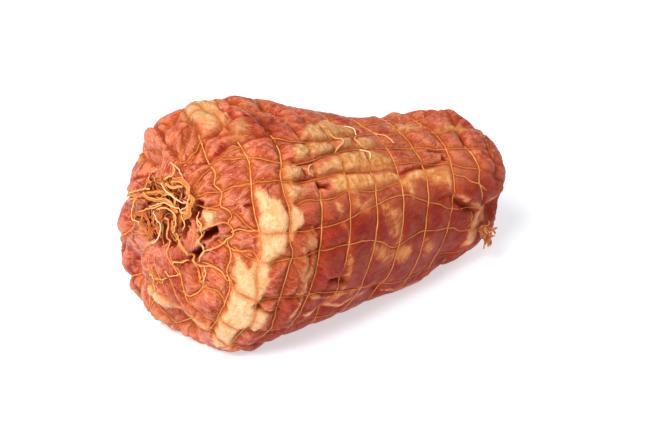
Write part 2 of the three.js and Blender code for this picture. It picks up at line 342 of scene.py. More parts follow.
def strand_lines():
    """Each strand as its angle for every reach: placed routes near, evenly spread ones beyond."""
    lines = []
    routes = [(route, True) for route in STRAND_ROUTES] + [(route, False) for route in SHORT_ROUTES]
    for route, whole in routes:
        rows = np.array(route, float)
        rows[:, 0] += STATION_TO_REACH
        if whole:
            rows = np.vstack([rows, [WHOLE_REACH - 3, rows[-1, 1]]])
        curve = smooth_rows(rows, 400)
        reach = np.arange(rows[0, 0], rows[-1, 0], 0.9)
        lines.append({"reach": reach, "angle": np.interp(reach, curve[:, 0], curve[:, 1])})
    for j in range(1, FAR_STRANDS + 1):
        reach = np.arange(71.0, WHOLE_REACH - 3, 0.9)
        share = j / (FAR_STRANDS + 1)
        low = np.interp(reach - STATION_TO_REACH, *np.array(STRAND_ROUTES[-1], float).T)
        high = np.interp(reach - STATION_TO_REACH, *np.array(STRAND_ROUTES[0], float).T) + 360.0
        angle = lerp(low, high, share) + 2.2 * np.sin(2.4 * j + reach / 34.0)
        lines.append({"reach": reach, "angle": angle})
    for line in lines:
        place = round_point(line["reach"], line["angle"])
        line["angle"] = line["angle"] + 1.0 * noise(place, 14.0, 5)
    return lines


def path_line(rows, seed):
    """A line through rows of reach and angle, with a small waver."""
    curve = smooth_rows(rows, 14 * len(rows))
    place = round_point(curve[:, 0], curve[:, 1])
    reach = curve[:, 0] + 0.9 * noise(place, 7.0, seed)
    return {"reach": reach, "angle": curve[:, 1] + 0.9 * noise(place, 7.0, seed + 1)}


def face_lines():
    """The placed strands of the big end's face, and pairs that meet and go in on its far side."""
    lines = [path_line(rows, 30 + 2 * k) for k, rows in enumerate(FACE_ROUTES)]
    first, last = STRAND_ROUTES[-1][0][1], STRAND_ROUTES[0][0][1] + 360.0
    starts = lerp(first, last, np.arange(1, FAR_STRANDS + 1) / (FAR_STRANDS + 1))
    for k, start in enumerate(starts):
        meet = start + (8.0 if k % 2 == 0 else -8.0)
        outer = np.interp(start % 360, RING_LINES[0]["angle"], RING_LINES[0]["reach"])
        rows = ((outer, start), (lerp(outer, 50, 0.5), lerp(start, meet, 0.3)), (50, lerp(start, meet, 0.9)),
                (41, meet), (31, meet + 2))
        lines.append(path_line(rows, 70 + 2 * k))
    return lines


RING_LINES = ring_lines()
STRAND_LINES = strand_lines()
FACE_LINES = face_lines()

# ---- The grid that carries the meat ----------------------------------------------------------

ROWS, COLUMNS = 262, 376


def crowded(low, high, count, crowd):
    """Numbers from low to high whose spacing shrinks where the crowding is high."""
    fine = np.linspace(low, high, 2001)
    share = crowd(fine)
    total = np.concatenate([[0.0], np.cumsum((share[1:] + share[:-1]) / 2)])
    return np.interp(np.linspace(0, 1, count), total / total[-1], fine)


REACH = crowded(
    0.9, WHOLE_REACH - 0.9, ROWS,
    lambda reach: 1 + 0.45 * ease(30, 60, reach) * ease(225, 200, reach))
ANGLE = crowded(
    0.0, 360.0, COLUMNS + 1,
    lambda angle: 1 + 0.8 * ease(40, 80, angle) * ease(250, 215, angle))[:-1]
GRID_REACH, GRID_ANGLE = np.meshgrid(REACH, ANGLE, indexing="ij")
SKIN = round_point(GRID_REACH, GRID_ANGLE)
NORMAL = outwards(GRID_REACH, GRID_ANGLE)
PER_REACH = np.linalg.norm(np.gradient(SKIN, REACH, axis=0), axis=-1)
PER_ANGLE = np.linalg.norm(
    round_point(GRID_REACH, GRID_ANGLE + 0.5) - round_point(GRID_REACH, GRID_ANGLE - 0.5), axis=-1)


def sample(field, reach, angle):
    """Reads a grid of numbers or vectors at any places, blending the four nearest."""
    row = np.interp(reach, REACH, np.arange(ROWS))
    angle = np.asarray(angle) % 360.0
    column = np.interp(angle, np.append(ANGLE, 360.0), np.arange(COLUMNS + 1))
    r0 = np.minimum(row.astype(int), ROWS - 2)
    c0 = np.minimum(column.astype(int), COLUMNS - 1)
    u, v = row - r0, column - c0
    if field.ndim == 3:
        u, v = u[:, None], v[:, None]
    c1 = (c0 + 1) % COLUMNS
    near = lerp(field[r0, c0], field[r0, c1], v)
    far = lerp(field[r0 + 1, c0], field[r0 + 1, c1], v)
    return lerp(near, far, u)


def distance_to_net():
    """Millimetres from each grid point to the nearest string: the gap along the reach or round the
    roast, over the root of one plus the string's squared slope."""
    best = np.full(GRID_REACH.shape, FAR_AWAY)
    for line in RING_LINES:
        reach = np.append(line["reach"], line["reach"][0])
        reach = np.interp(ANGLE, np.append(line["angle"], 360.0), reach)
        gap = np.abs(REACH[:, None] - reach[None]) * PER_REACH
        slope = np.gradient(reach, ANGLE)[None] * PER_REACH / PER_ANGLE
        best = np.minimum(best, gap / np.sqrt(1 + slope ** 2))
    for line in STRAND_LINES:
        angle = np.interp(REACH, line["reach"], line["angle"])
        gap = np.abs(wrapped(ANGLE[None] - angle[:, None])) * PER_ANGLE
        slope = np.gradient(angle, REACH)[:, None] * PER_ANGLE / PER_REACH
        out = np.maximum(line["reach"][0] - REACH, REACH - line["reach"][-1]).clip(0)
        gap = np.hypot(gap, out[:, None] * 1.5)
        best = np.minimum(best, gap / np.sqrt(1 + slope ** 2))
    for line in FACE_LINES:
        place = round_point(line["reach"], line["angle"])
        best = np.minimum(best, distance_to_line(place[::2], 9.0)[0])
    return best


def distance_to(route, near):
    """The distance to a curved route that is given by rows of reach and angle."""
    curve = smooth_rows(route, max(8, 6 * len(route)))
    return distance_to_line(round_point(curve[:, 0], curve[:, 1]), near)


def distance_to_line(line, near):
    """Millimetres from each grid point to a line of straight pieces, and the share of the way."""
    inside = ((SKIN > line.min(0) - near) & (SKIN < line.max(0) + near)).all(-1)
    points = SKIN[inside]
    best = np.full(len(points), FAR_AWAY)
    share = np.zeros(len(points))
    for k in range(len(line) - 1):
        step = line[k + 1] - line[k]
        t = ((points - line[k]) @ step / max(step @ step, 1e-9)).clip(0, 1)
        gap = np.linalg.norm(points - line[k] - t[:, None] * step, axis=-1)
        closer = gap < best
        best[closer] = gap[closer]
        share[closer] = (k + t[closer]) / (len(line) - 1)
    distance, along = np.full(GRID_REACH.shape, FAR_AWAY), np.zeros(GRID_REACH.shape)
    distance[inside] = best
    along[inside] = share
    return distance, along


# ---- Fat, seams and hollows ------------------------------------------------------------------

PALE, CREAM, GOLD, TAN = -0.5, 0.0, 0.5, 1.0

# Closed outlines in rows of reach and angle; then how far the fat stands up, its tone, and how
# wide its edge is.
FAT_OUTLINES = (
    # The band down the big end's shoulder, and the strip beside it.
    (((84, 139), (86, 148), (86, 162), (87, 171), (84, 173), (83, 176), (79, 172), (75, 171), (74, 176),
      (72, 181), (77, 184), (76, 198), (77, 204), (76, 210), (78, 216), (84, 230), (92, 236), (98, 232),
      (93, 223), (91, 215), (96, 210), (101, 212), (104, 204), (100, 198), (95, 198), (93, 194),
      (95, 190),
      (96, 182), (95, 178), (98, 170), (104, 164), (104, 152), (100, 145), (95, 142), (91, 140),
      (87, 138)),
     0.3, CREAM, 1.2),
    (((105, 145), (109, 146), (113, 150), (114, 154), (111, 157), (108, 160), (105, 162), (104, 152)),
     0.5, CREAM, 1.0),
    (((83, 140), (87, 138), (90, 141), (88, 145), (85, 144)), 1.4, CREAM, 1.0),
    # The broken lumps on the top, from the far row to the near one.
    (((130, 110), (136, 105), (142, 103), (149, 100), (156, 97), (164, 91), (170, 88), (177, 89),
      (184, 91),
      (186, 97), (184, 102), (174, 105), (162, 109), (151, 111), (143, 112), (136, 111)), 1.6, 0.35, 1.4),
    (((117, 119), (122, 116), (128, 115), (135, 115), (142, 115), (150, 114), (154, 116), (150, 120),
      (143, 122), (134, 122), (127, 123), (119, 124)), 1.5, GOLD, 1.6),
    (((160, 112), (167, 110), (173, 109), (171, 114), (168, 116), (158, 118), (155, 118), (159, 114)),
     1.4, TAN, 1.4),
    (((175, 112), (181, 108), (187, 107), (194, 108), (195, 112), (190, 115), (184, 116), (177, 115)),
     1.8, 0.35, 1.2),
    (((105, 130), (107, 127), (113, 126), (119, 129), (118, 132), (112, 134), (106, 134)), 1.8, TAN, 1.2),
    (((124, 130), (133, 128), (140, 126), (152, 122), (162, 120), (170, 120), (180, 119), (190, 119),
      (199, 122), (203, 125), (199, 128), (185, 130), (171, 130), (159, 131), (148, 131), (137, 132),
      (130, 133), (125, 132)), 1.8, GOLD, 1.3),
    (((140, 135), (149, 133), (164, 133), (177, 133), (189, 132), (201, 132), (203, 135), (196, 138),
      (186, 138), (174, 140), (165, 141), (154, 142), (145, 142), (140, 140)), 1.2, GOLD, 1.8),
    (((104, 137), (109, 136), (115, 138), (117, 139), (112, 141), (109, 144), (105, 146), (104, 143)),
     0.8, TAN, 2.0),
    # The crest near the small end, and its golden hollow.
    (((206, 137), (212, 136), (220, 132), (228, 132), (239, 133), (236, 137), (226, 137), (217, 137),
      (209, 140)), 0.9, GOLD, 1.2),
    (((287, 180), (293, 177), (299, 174), (304, 168), (311, 170), (312, 180), (307, 190), (300, 196),
      (295, 201), (291, 208), (283, 206), (281, 197), (281, 189), (284, 184)), 1.2, PALE, 1.6),
    (((260, 103), (267, 102), (275, 103), (279, 106), (270, 106), (262, 107)), 0.4, CREAM, 3.0),
    # Patches on the big end's top and the flank.
    (((78, 66), (86, 60), (94, 60), (95, 70), (92, 82), (87, 90), (80, 92), (75, 88),
      (75, 78)), 0.15, 0.2, 4.2),
    (((88, 102), (93, 97), (98, 95), (98, 98), (93, 104), (87, 109), (82, 108)), 0.15, 0.2, 3.6),
    (((185, 150), (195, 151), (201, 158), (203, 168), (202, 175), (197, 168), (192, 159), (188, 154)),
     0.2, GOLD, 6.0),
    (((180, 174), (189, 175), (200, 177), (203, 183), (192, 181)), 0.1, GOLD, 5.5),
    (((205, 183), (210, 180), (217, 183), (216, 188), (209, 187)), 0.1, GOLD, 4.5),
    (((232, 184), (238, 184), (245, 190), (239, 191)), 0.1, GOLD, 5.5),
    (((112, 163), (119, 160), (123, 164), (121, 170), (126, 175), (123, 182), (124, 190), (121, 196),
      (117, 188), (116, 176), (113, 170)), 0.2, TAN, 4.2),
)
# Streaks in rows of reach, angle and half width; then the same numbers as above.
FAT_STREAKS = (
    (((46, 266, 3.5), (49, 250, 5), (55, 239, 5), (61, 231, 5), (66, 226, 4.6),
      (74, 222, 3.4)), 0.5, CREAM, 1.2),
    (((50, 41, 1), (47, 50, 1.6), (46, 58, 1)), 0.4, GOLD, 1.6),
    (((142, 147, 0.8), (144, 151, 1.2), (148, 158, 1.2), (152, 162, 1.0),
      (155, 170, 0.6)), 0.3, GOLD, 2.0),
    (((157, 176, 0.8), (159, 184, 1.3), (159, 192, 1.5), (157, 199, 1.2),
      (155, 205, 0.8)), 0.5, GOLD, 2.4),
    (((122, 176, 1), (121, 184, 1.6), (124, 192, 1.6), (121, 202, 1.2),
      (117, 208, 0.8)), 0.4, CREAM, 1.2),
    (((128, 206, 0.8), (143, 207, 1.6), (160, 209, 2.0), (173, 207, 1.4),
      (189, 206, 0.8)), 0.4, CREAM, 1.2),
    (((129, 193, 0.5), (144, 197, 0.7), (158, 198, 0.7), (175, 200, 0.6),
      (192, 201, 0.4)), 0.3, GOLD, 1.0),
    (((209, 215, 0.5), (234, 222, 0.8), (253, 224, 0.8), (269, 223, 0.6)), 0.3, GOLD, 1.2),
    (((101, 198, 0.5), (106, 199, 0.9), (111, 199, 0.5)), 0.5, CREAM, 0.8),
    (((258, 156, 0.4), (262, 158, 0.7), (268, 163, 1.0), (274, 167, 0.9), (283, 173, 0.8),
      (290, 177, 1.4)),
     0.4, TAN, 1.4),
    (((50, 147, 2.8), (54, 150, 3.8)), 2.8, -0.1, 0.9),
    (((158, 148, 1.5), (166, 150, 2), (176, 146, 1.5)), 0.2, GOLD, 2.8),
    (((240, 140, 3), (250, 142, 4), (252, 148, 2)), 0.2, GOLD, 3.0),
    (((206, 138, 1.5), (214, 142, 2), (216, 148, 1)), 0.3, GOLD, 1.6),
    (((226, 92, 2), (236, 90, 3), (246, 92, 2)), 0.3, CREAM, 3.0),
)
# Folded edges in rows of reach and angle, raised on the upper side; then height and how far it dies.
LEDGES = (
    (((252, 152), (258, 156), (261, 158), (264, 160), (268, 164), (271, 163), (274, 168), (279, 172),
      (283, 174),
      (288, 176), (295, 177), (301, 174)), 3.6, 9.0),
    (((131, 177), (135, 181), (140, 184), (148, 185), (153, 183), (156, 178)), 2.4, 7.0),
    (((112, 120), (121, 125), (132, 125), (143, 122), (152, 119)), 1.0, 6.0),
    (((97, 113), (107, 113), (127, 114), (147, 112), (161, 110)), 1.0, 7.0),
)
# Places where the roast swells or draws in: reach, angle, radius and height.
SWELLS = (
    (299, 187, 13, -5.5), (306, 178, 9, -5.0), (316, 178, 10, -3.0), (308, 160, 8, 1.5),
    (269, 213, 13, -6.0), (257, 225, 13, 3.4), (232, 227, 14, 2.8), (200, 212, 10, -5.0),
    (178, 212, 10, -1.2), (151, 210, 9, -6.0), (121, 218, 9, 1.2), (110, 234, 13, 4.4),
    (65, 240, 12, -18.0), (60, 246, 9, -1.6), (60, 268, 9, 4.2), (56, 281, 8, 0.6), (62, 297, 9, 3.5),
    (60, 298, 11, 0.5), (46, 298, 12, -10.5), (56, 314, 14, 3.8), (48, 330, 12, 3.0), (37, 345, 9, -6.5),
    (39, 358, 8, 7.6), (47, 332, 8, 1.0), (54, 22, 11, -4.0), (58, 37, 8, 1.4), (38, 31, 11, -10.0),
    (41, 40, 12, -14.0), (64, 46, 9, 6.2), (66, 44, 6, -2.0), (69, 61, 7, -8.6), (89, 61, 11, 3.0),
    (95, 67, 8, -2.6), (94, 76, 8, -8.0), (107, 67, 12, 3.6), (131, 66, 12, 2.8), (130, 82, 9, -9.0),
    (240, 63, 7, -2.6), (229, 69, 8, 1.8), (179, 89, 12, -3.0), (200, 86, 10, -2.0), (222, 74, 12, 0.8),
    (249, 62, 9, 5.2), (262, 60, 8, -0.4), (268, 63, 13, 3.2), (271, 74, 8, -1.5), (278, 80, 8, 4.2),
    (312, 128, 11, 4.0), (300, 108, 9, 1.8), (284, 92, 9, -2.0), (262, 96, 9, 1.4), (312, 152, 9, 0.8),
    (40, 110, 8, 1.2), (52, 92, 8, 1.6), (284, 144, 6, 2.0), (292, 140, 6, 1.6), (290, 152, 6, 1.8),
    (298, 158, 7, 2.0), (305, 147, 7, 0.8), (243, 108, 8, 2.2), (263, 118, 7, 2.0), (256, 127, 6, 1.6),
    (264, 132, 6, 1.6),
)
# Amber stains; negative numbers darken the meat instead, partly its own darker patches and partly painted
# shade: reach, angle, radius and strength.
STAINS_AND_SHADE = (
    (108, 168, 11, 0.7), (100, 186, 9, -0.4), (106, 181, 7, -0.3), (113, 172, 7, 0.6),
    (106, 200, 9, -0.2), (118, 150, 11, 0.8), (132, 149, 11, 0.9), (128, 162, 11, 0.7),
    (122, 174, 10, 0.6), (152, 150, 11, 0.6), (172, 152, 10, 0.6), (146, 168, 10, 0.4),
    (103, 98, 13, -0.8), (84, 106, 12, -0.4), (66, 92, 14, -0.4), (118, 100, 12, -0.6),
    (108, 112, 12, -0.6), (140, 99, 9, -0.3), (130, 118, 11, 0.8), (150, 117, 11, 0.8),
    (168, 116, 11, 0.8), (120, 128, 9, 0.6), (142, 131, 11, 0.8), (162, 131, 11, 0.8),
    (182, 131, 11, 0.8), (190, 113, 10, 0.6), (194, 160, 10, 0.5), (222, 146, 11, 0.6),
    (206, 186, 9, 0.6), (236, 188, 9, 0.5), (40, 230, 18, -0.6), (28, 200, 14, -0.6), (66, 250, 16, -0.4),
    (44, 190, 12, -0.4), (36, 330, 16, -0.4), (255, 186, 14, -0.4), (166, 176, 12, -0.5),
    (228, 168, 12, -0.4), (178, 200, 12, -0.4), (146, 194, 9, -0.5), (270, 146, 12, 0.3),
    (262, 108, 20, -0.25), (288, 122, 12, -0.2), (272, 172, 8, -0.9), (248, 140, 12, 0.7),
    (262, 146, 10, 0.6), (236, 122, 10, 0.4), (216, 156, 10, 0.5),
)
# Rows of reach and angle; then half width and depth.
SEAMS = (
    (((68, 46), (64, 50), (60, 54), (54, 60), (49, 65)), 2.2, 5.5),
    (((56, 34), (48, 46), (48, 58), (49, 65), (48, 75), (46, 84), (45, 92)), 2.0, 4.0),
    (((82, 60), (78, 66), (74, 74), (71, 84)), 1.8, 3.0),
    (((93, 80), (92, 88), (84, 95), (76, 98), (66, 99), (58, 103), (51, 107)), 2.2, 4.6),
    (((108, 70), (102, 78), (96, 86), (98, 91), (107, 92), (114, 86), (116, 78)), 2.0, 3.6),
    (((108, 98), (107, 104), (104, 109)), 1.6, 2.4),
    (((113, 108), (106, 109), (97, 110), (89, 110), (80, 109), (70, 112), (58, 113),
      (48, 114)), 2.2, 4.4),
    (((130, 78), (128, 88), (118, 96), (110, 98)), 1.8, 3.0),
    (((64, 118), (56, 120), (47, 122)), 1.6, 2.2),
    (((27, 325), (32, 312), (29, 294)), 2.0, 3.0),
    (((99, 124), (106, 124), (113, 124), (119, 126), (126, 126), (135, 124), (142, 122), (150, 120),
      (163, 118)), 1.4, 2.2),
    (((105, 112), (114, 113), (127, 114), (138, 112), (147, 112)), 1.5, 1.9),
    (((112, 136), (118, 135), (124, 134), (134, 133)), 1.5, 2.0),
    (((142, 132), (152, 132), (169, 132), (187, 131), (201, 130)), 1.3, 1.2),
    (((200, 131), (208, 133), (216, 131), (229, 130), (238, 131), (250, 129), (257, 125)), 1.7, 3.0),
    (((240, 154), (246, 155), (253, 154)), 1.5, 1.8),
    (((254, 156), (260, 161), (267, 167), (275, 173), (284, 179), (290, 182)), 1.8, 4.4),
    (((92, 196), (99, 199), (106, 200), (113, 200)), 1.6, 2.6),
    (((118, 166), (122, 172), (121, 180)), 1.5, 1.8),
    (((125, 154), (126, 161), (128, 168), (129, 174)), 1.5, 1.8),
    (((142, 187), (148, 187), (156, 189), (160, 190)), 2.0, 4.5),
    (((44, 322), (51, 318), (60, 313)), 2.6, 4.0),
    (((37, 32), (43, 18), (50, 4)), 2.2, 3.5),
    (((271, 111), (273, 118), (273, 124), (278, 131)), 1.6, 3.2),
    (((238, 118), (246, 120), (254, 124)), 1.6, 3.0),
    (((290, 118), (295, 126), (294, 134), (298, 142), (296, 150)), 1.8, 3.4),
    (((286, 134), (296, 138), (306, 138)), 1.6, 2.0),
    (((292, 150), (301, 152), (310, 150)), 1.6, 2.0),
)
# Rows of reach and angle; then radius and depth.
PITS = (
    (((129, 137), (133, 138), (136, 139)), 1.7, 6.0),
    (((78, 145), (82, 145)), 0.8, 2.0),
    (((187, 96), (191, 97)), 1.3, 3.0),
    (((250, 127), (252, 129)), 1.3, 2.6),
    (((119, 130), (121, 132)), 1.5, 3.6),
    (((50, 163), (54, 160), (57, 158)), 2.7, 9.0),
    (((44, 181), (46, 177), (48, 173)), 2.6, 9.0),
    (((43, 141), (40, 149)), 2.8, 5.0),
    (((145, 187), (151, 188)), 1.2, 2.0),
    (((29, 164), (26, 156)), 4.0, 5.0),
    (((22, 196), (20, 206)), 4.0, 5.0),
    (((8, 60), (12, 150), (20, 140)), 8.0, 6.5),
    (((30, 172), (27, 164)), 3.0, 6.0),
    (((34, 140), (33, 148)), 2.6, 6.0),
    (((16, 330), (8, 20)), 6.0, 4.5),
)
MUSCLES = 34
# How far in or out of the fat is still told apart.
FAT_SPAN = 8.0


def hidden_share():
    """1 on the sides that hold no placed patches, 0 on the near side."""
    return np.maximum(ease(58, 30, GRID_ANGLE), ease(238, 262, GRID_ANGLE)) * ease(34, 60, GRID_REACH)


def inside_outline(rows):
    """Millimetres inside a closed outline, negative outside it. A place is inside where a line
    from it crosses the outline an odd number of times."""
    rows = smooth_rows([*rows, rows[0]], 5 * len(rows))
    distance, _ = distance_to_line(round_point(rows[:, 0], rows[:, 1]), 10.0)
    near_rows = (REACH > rows[:, 0].min() - 1) & (REACH < rows[:, 0].max() + 1)
    reach, angle = GRID_REACH[near_rows], GRID_ANGLE[near_rows]
    inside = np.zeros(reach.shape, bool)
    for (r0, a0), (r1, a1) in zip(rows[:-1], rows[1:]):
        crosses = (a0 > angle) != (a1 > angle)
        slope = (r1 - r0) / (a1 - a0 if abs(a1 - a0) > 1e-9 else 1e-9)
        inside ^= crosses & (reach < r0 + slope * (angle - a0))
    side = np.full(GRID_REACH.shape, -1.0)
    side[near_rows] = np.where(inside, 1.0, -1.0)
    return side * distance.clip(0, 10)


def lay_fat():
    """How far inside the fat each point lies, how far the fat stands up there, and its tone."""
    edge = 0.8 * noise(SKIN, 9.0, 40) + 1.3 * noise(SKIN, 4.0, 41)
    depth = np.full(GRID_REACH.shape, -FAT_SPAN)
    stand, tone = np.zeros(GRID_REACH.shape), np.full(GRID_REACH.shape, CREAM)
    patches = [(inside_outline(rows), *rest) for rows, *rest in FAT_OUTLINES]
    for rows, *rest in FAT_STREAKS:
        rows = np.array(rows, float)
        distance, share = distance_to(rows[:, :2], 16.0)
        width = np.interp(share * (len(rows) - 1), np.arange(len(rows)), rows[:, 2])
        patches.append((width - distance, *rest))
    for inside, rise, shade, fade in patches:
        inside = inside + edge
        here = inside / lerp(1.0, fade, ease(-FAT_SPAN, -3.0, inside))
        tone = np.where(here > depth, shade, tone)
        stand = np.maximum(stand, rise * ease(-0.6, 2.4, inside))
        depth = np.maximum(depth, here)
    hidden = hidden_share()
    stretched = SKIN * np.array([0.55, 1.0, 1.0])
    blotch = ((noise(stretched, 26.0, 43) - 0.3) * 13.0 + 2.4 * edge + 2.0 * noise(SKIN, 14.0, 47)) / 1.5
    blotch = lerp(-FAT_SPAN, blotch, hidden)
    tone = np.where(blotch > depth, 0.35 + 0.5 * noise(SKIN, 30.0, 44), tone)
    stand = np.maximum(stand, 0.9 * ease(-1.2, 2.2, blotch))
    return np.maximum(depth, blotch).clip(-FAT_SPAN, FAT_SPAN), stand, tone.clip(PALE, TAN)


def raise_ledges():
    """Folded edges: full height along the edge on its upper side, dying away from there."""
    rise = np.zeros(GRID_REACH.shape)
    for rows, height, fade in LEDGES:
        curve = smooth_rows(rows, 60)
        distance, share = distance_to(rows, 3 * fade)
        above = GRID_ANGLE < np.interp(GRID_REACH, curve[:, 0], curve[:, 1])
        signed = np.where(above, distance, -distance)
        ends = np.sin(np.pi * share.clip(0.02, 0.98)) ** 0.5
        rise += height * ends * ease(-0.9, 0.9, signed) * np.exp(-np.maximum(signed, 0) / fade)
    return rise


def swell(places):
    """Broad swells: each one's height times e to the minus squared distance over its radius."""
    rise = np.zeros(GRID_REACH.shape)
    for reach, angle, radius, height in places:
        middle = place_at(reach, angle)
        rise += height * np.exp(-((SKIN - middle) ** 2).sum(-1) / radius ** 2)
    return rise


def cut_seams():
    """Grooves along the seams and round pits, as a depth in millimetres, and a 0 to 1 share of painted shade
    in the seams, the pits, the muscle edges and the hollow under the gather.
    """
    depth, hollow_shade = np.zeros(GRID_REACH.shape), np.zeros(GRID_REACH.shape)
    ragged = 0.5 * noise(SKIN, 6.0, 50)
    torn = ragged + 0.5 * noise(SKIN, 3.0, 52)
    for rows, width, cut in SEAMS:
        distance, share = distance_to(rows, 12.0)
        taper = np.sin(np.pi * share.clip(0.04, 0.96)) ** 0.5
        groove = np.exp(-((distance * (1 + ragged * 0.5) / width) ** 1.3)) * taper
        shoulder = 0.34 * np.exp(-(((distance - 2.6 * width) / (1.5 * width)) ** 2)) * taper
        depth = np.where(groove > shoulder, np.maximum(depth, cut * groove), depth - cut * shoulder)
        hollow_shade = np.maximum(hollow_shade, 0.84 * groove ** 1.6)
    for rows, radius, cut in PITS:
        distance, _ = distance_to(rows, 16.0)
        pit = ease(1.3, 0.7, distance / radius * (1 + 0.8 * torn))
        depth = np.maximum(depth, cut * pit)
        hollow_shade = np.maximum(hollow_shade, 0.85 * pit ** 1.5)
    # The hollow under the gather gets painted shade as well.
    across = GRID_REACH * np.cos(np.radians(GRID_ANGLE))
    upwards = GRID_REACH * np.sin(np.radians(GRID_ANGLE))
    oval = np.hypot((across + 2) / 29, (upwards - 6) / 24)
    under = ease(1.15, 0.6, oval) * ease(-0.3, 0.3, noise(SKIN, 5.0, 53))
    hollow_shade = np.maximum(hollow_shade, 0.75 * under)
    # Along the muscle edges: a shallow groove and painted shade.
    between = np.exp(-((MUSCLE_EDGE / 1.7) ** 2)) * ease(-0.35, 0.5, noise(SKIN, 24.0, 51))
    between = between * lerp(0.3, 1.0, hidden_share()) * ease(2.0, -1.0, FAT)
    depth = np.maximum(depth, 2.1 * between)
    return depth, np.maximum(hollow_shade, 0.55 * between)


def part_muscles():
    """The nearest of some scattered middles, in wavering space, gives each point its muscle. Gives
    the distance to the next muscle, each muscle's own shade, and the direction of its fibres."""
    rng = np.random.default_rng(17)
    reach, angle = rng.uniform(5, WHOLE_REACH - 5, MUSCLES), rng.uniform(0, 360, MUSCLES)
    middles = round_point(reach, angle)
    waver = np.stack([noise(SKIN, 28.0, 80 + k) + 0.4 * noise(SKIN, 9.0, 84 + k) for k in range(3)], -1)
    gaps = np.linalg.norm((SKIN + 9.0 * waver)[:, :, None] - middles, axis=-1)
    nearest = gaps.argmin(-1)
    gaps.sort(-1)
    along = unit(round_point(reach + 1.0, angle) - round_point(reach - 1.0, angle))
    turn = rng.normal(0, 0.5, MUSCLES)[:, None]
    fibres = np.cos(turn) * along + np.sin(turn) * np.cross(outwards(reach, angle), along)
    return (gaps[..., 1] - gaps[..., 0]) / 2, rng.uniform(0, 1, MUSCLES)[nearest], fibres[nearest]


STATION = station_at(GRID_REACH)
FIRMNESS = ease(-75, -20, STATION) * ease(0.3, 0.8, -np.cos(np.radians(GRID_ANGLE)))
NET_GAP = distance_to_net()
MUSCLE_EDGE, MUSCLE_SHADE, FIBRES = part_muscles()
FAT, FAT_STAND, TONE = lay_fat()
SEAM_DEPTH, HOLLOW_SHADE = cut_seams()


def bed_for_net():
    """The height of the meat that the net presses on: bulges, lumps, seams and string furrows."""
    soft = 1 - ease(-1, 2, FAT) * lerp(0.45, 0.9, ease(108, 98, GRID_REACH))
    plump = lerp(4.0, 1.3, FIRMNESS) * soft * (1.0 + 0.4 * noise(SKIN, 26.0, 3))
    taut = 0.5 * ease(40, 85, STATION) * (1 - 0.6 * FIRMNESS)
    plump = plump * (lerp(0.62, 1.08, ease(20, -60, STATION)) + taut)
    press = ease(22, 40, GRID_REACH) * ease(347, 338, GRID_REACH)
    bed = BULGE - plump * press * np.exp(-((NET_GAP / lerp(4.2, 3.0, FIRMNESS)) ** 1.4))
    bed += lerp(0.9, 0.5, FIRMNESS) * noise(SKIN, 32.0, 1)
    bed += 0.18 * noise(SKIN, 12.0, 2)
    return bed - SEAM_DEPTH + raise_ledges() + swell(SWELLS)


BED = bed_for_net()


def meat_rise():
    """The bed, with the string furrows, raised crumbly fat and the fine grain of the meat. A fat
    lobule is a dome: the root of one minus the squared distance from its middle."""
    furrow = 0.35 * np.exp(-((NET_GAP / 1.2) ** 2)) * ease(24, 40, GRID_REACH)
    crumb = noise(SKIN, 5.0, 60) + 0.6 * noise(SKIN, 2.6, 61)
    fat_share = ease(-1, 2, FAT)
    rise = BED - furrow
    warp = 2.4 * np.stack([noise(SKIN, 7.0, 56 + k) for k in range(3)], -1)
    far, gap = lobules(SKIN + warp, 8.0, 1)
    dome = np.sqrt((1 - (far / 0.95) ** 2).clip(0)) * ease(-0.1, 0.3, gap)
    small_far, small_gap = lobules(SKIN + warp, 3.8, 2)
    small = np.sqrt((1 - (small_far / 0.95) ** 2).clip(0)) * ease(-0.1, 0.4, small_gap)
    drawn = SKIN * np.array([1.0, 0.45, 0.45]) + 0.4 * warp
    crag = 1 - 2.0 * np.abs(noise(drawn, 5.0, 64)) - 1.0 * np.abs(noise(drawn, 2.6, 65))
    rise += FAT_STAND * (0.36 + 0.06 * dome + 0.4 * crag + 0.1 * small + 0.22 * crumb)
    rise += 0.22 * fat_share * (small - 0.5)
    rise += 0.17 * crumb
    pulled = SKIN - FIBRES * ((SKIN * FIBRES).sum(-1) * 0.7)[..., None]
    wrinkle = np.abs(noise(pulled, 5.5, 62)) + 0.6 * np.abs(noise(pulled, 3.0, 63))
    rise -= lerp(0.4, 0.0, ease(-2.5, 0.5, FAT)) * np.maximum(0.35 - wrinkle, 0.0) / 0.35
    return rise


RISE = meat_rise()


def blurred(field, size):
    """A soft mean over the grid: two passes of a rising and falling weight, wrapped round."""
    kernel = np.hanning(2 * size + 3)[1:-1]
    kernel = kernel / kernel.sum()
    padded = np.pad(field, ((size, size), (0, 0)), mode="edge")
    padded = np.pad(padded, ((0, 0), (size, size)), mode="wrap")
    down = sum(w * padded[k:k + ROWS] for k, w in enumerate(kernel))
    return sum(w * down[:, k:k + COLUMNS] for k, w in enumerate(kernel))


# How far each point lies below its surroundings; the finish uses it to paint shade into the hollows and
# highlight onto the peaks.
CREVICE_SHADING = (blurred(RISE, 5) - RISE).clip(-1.5, 3.0)


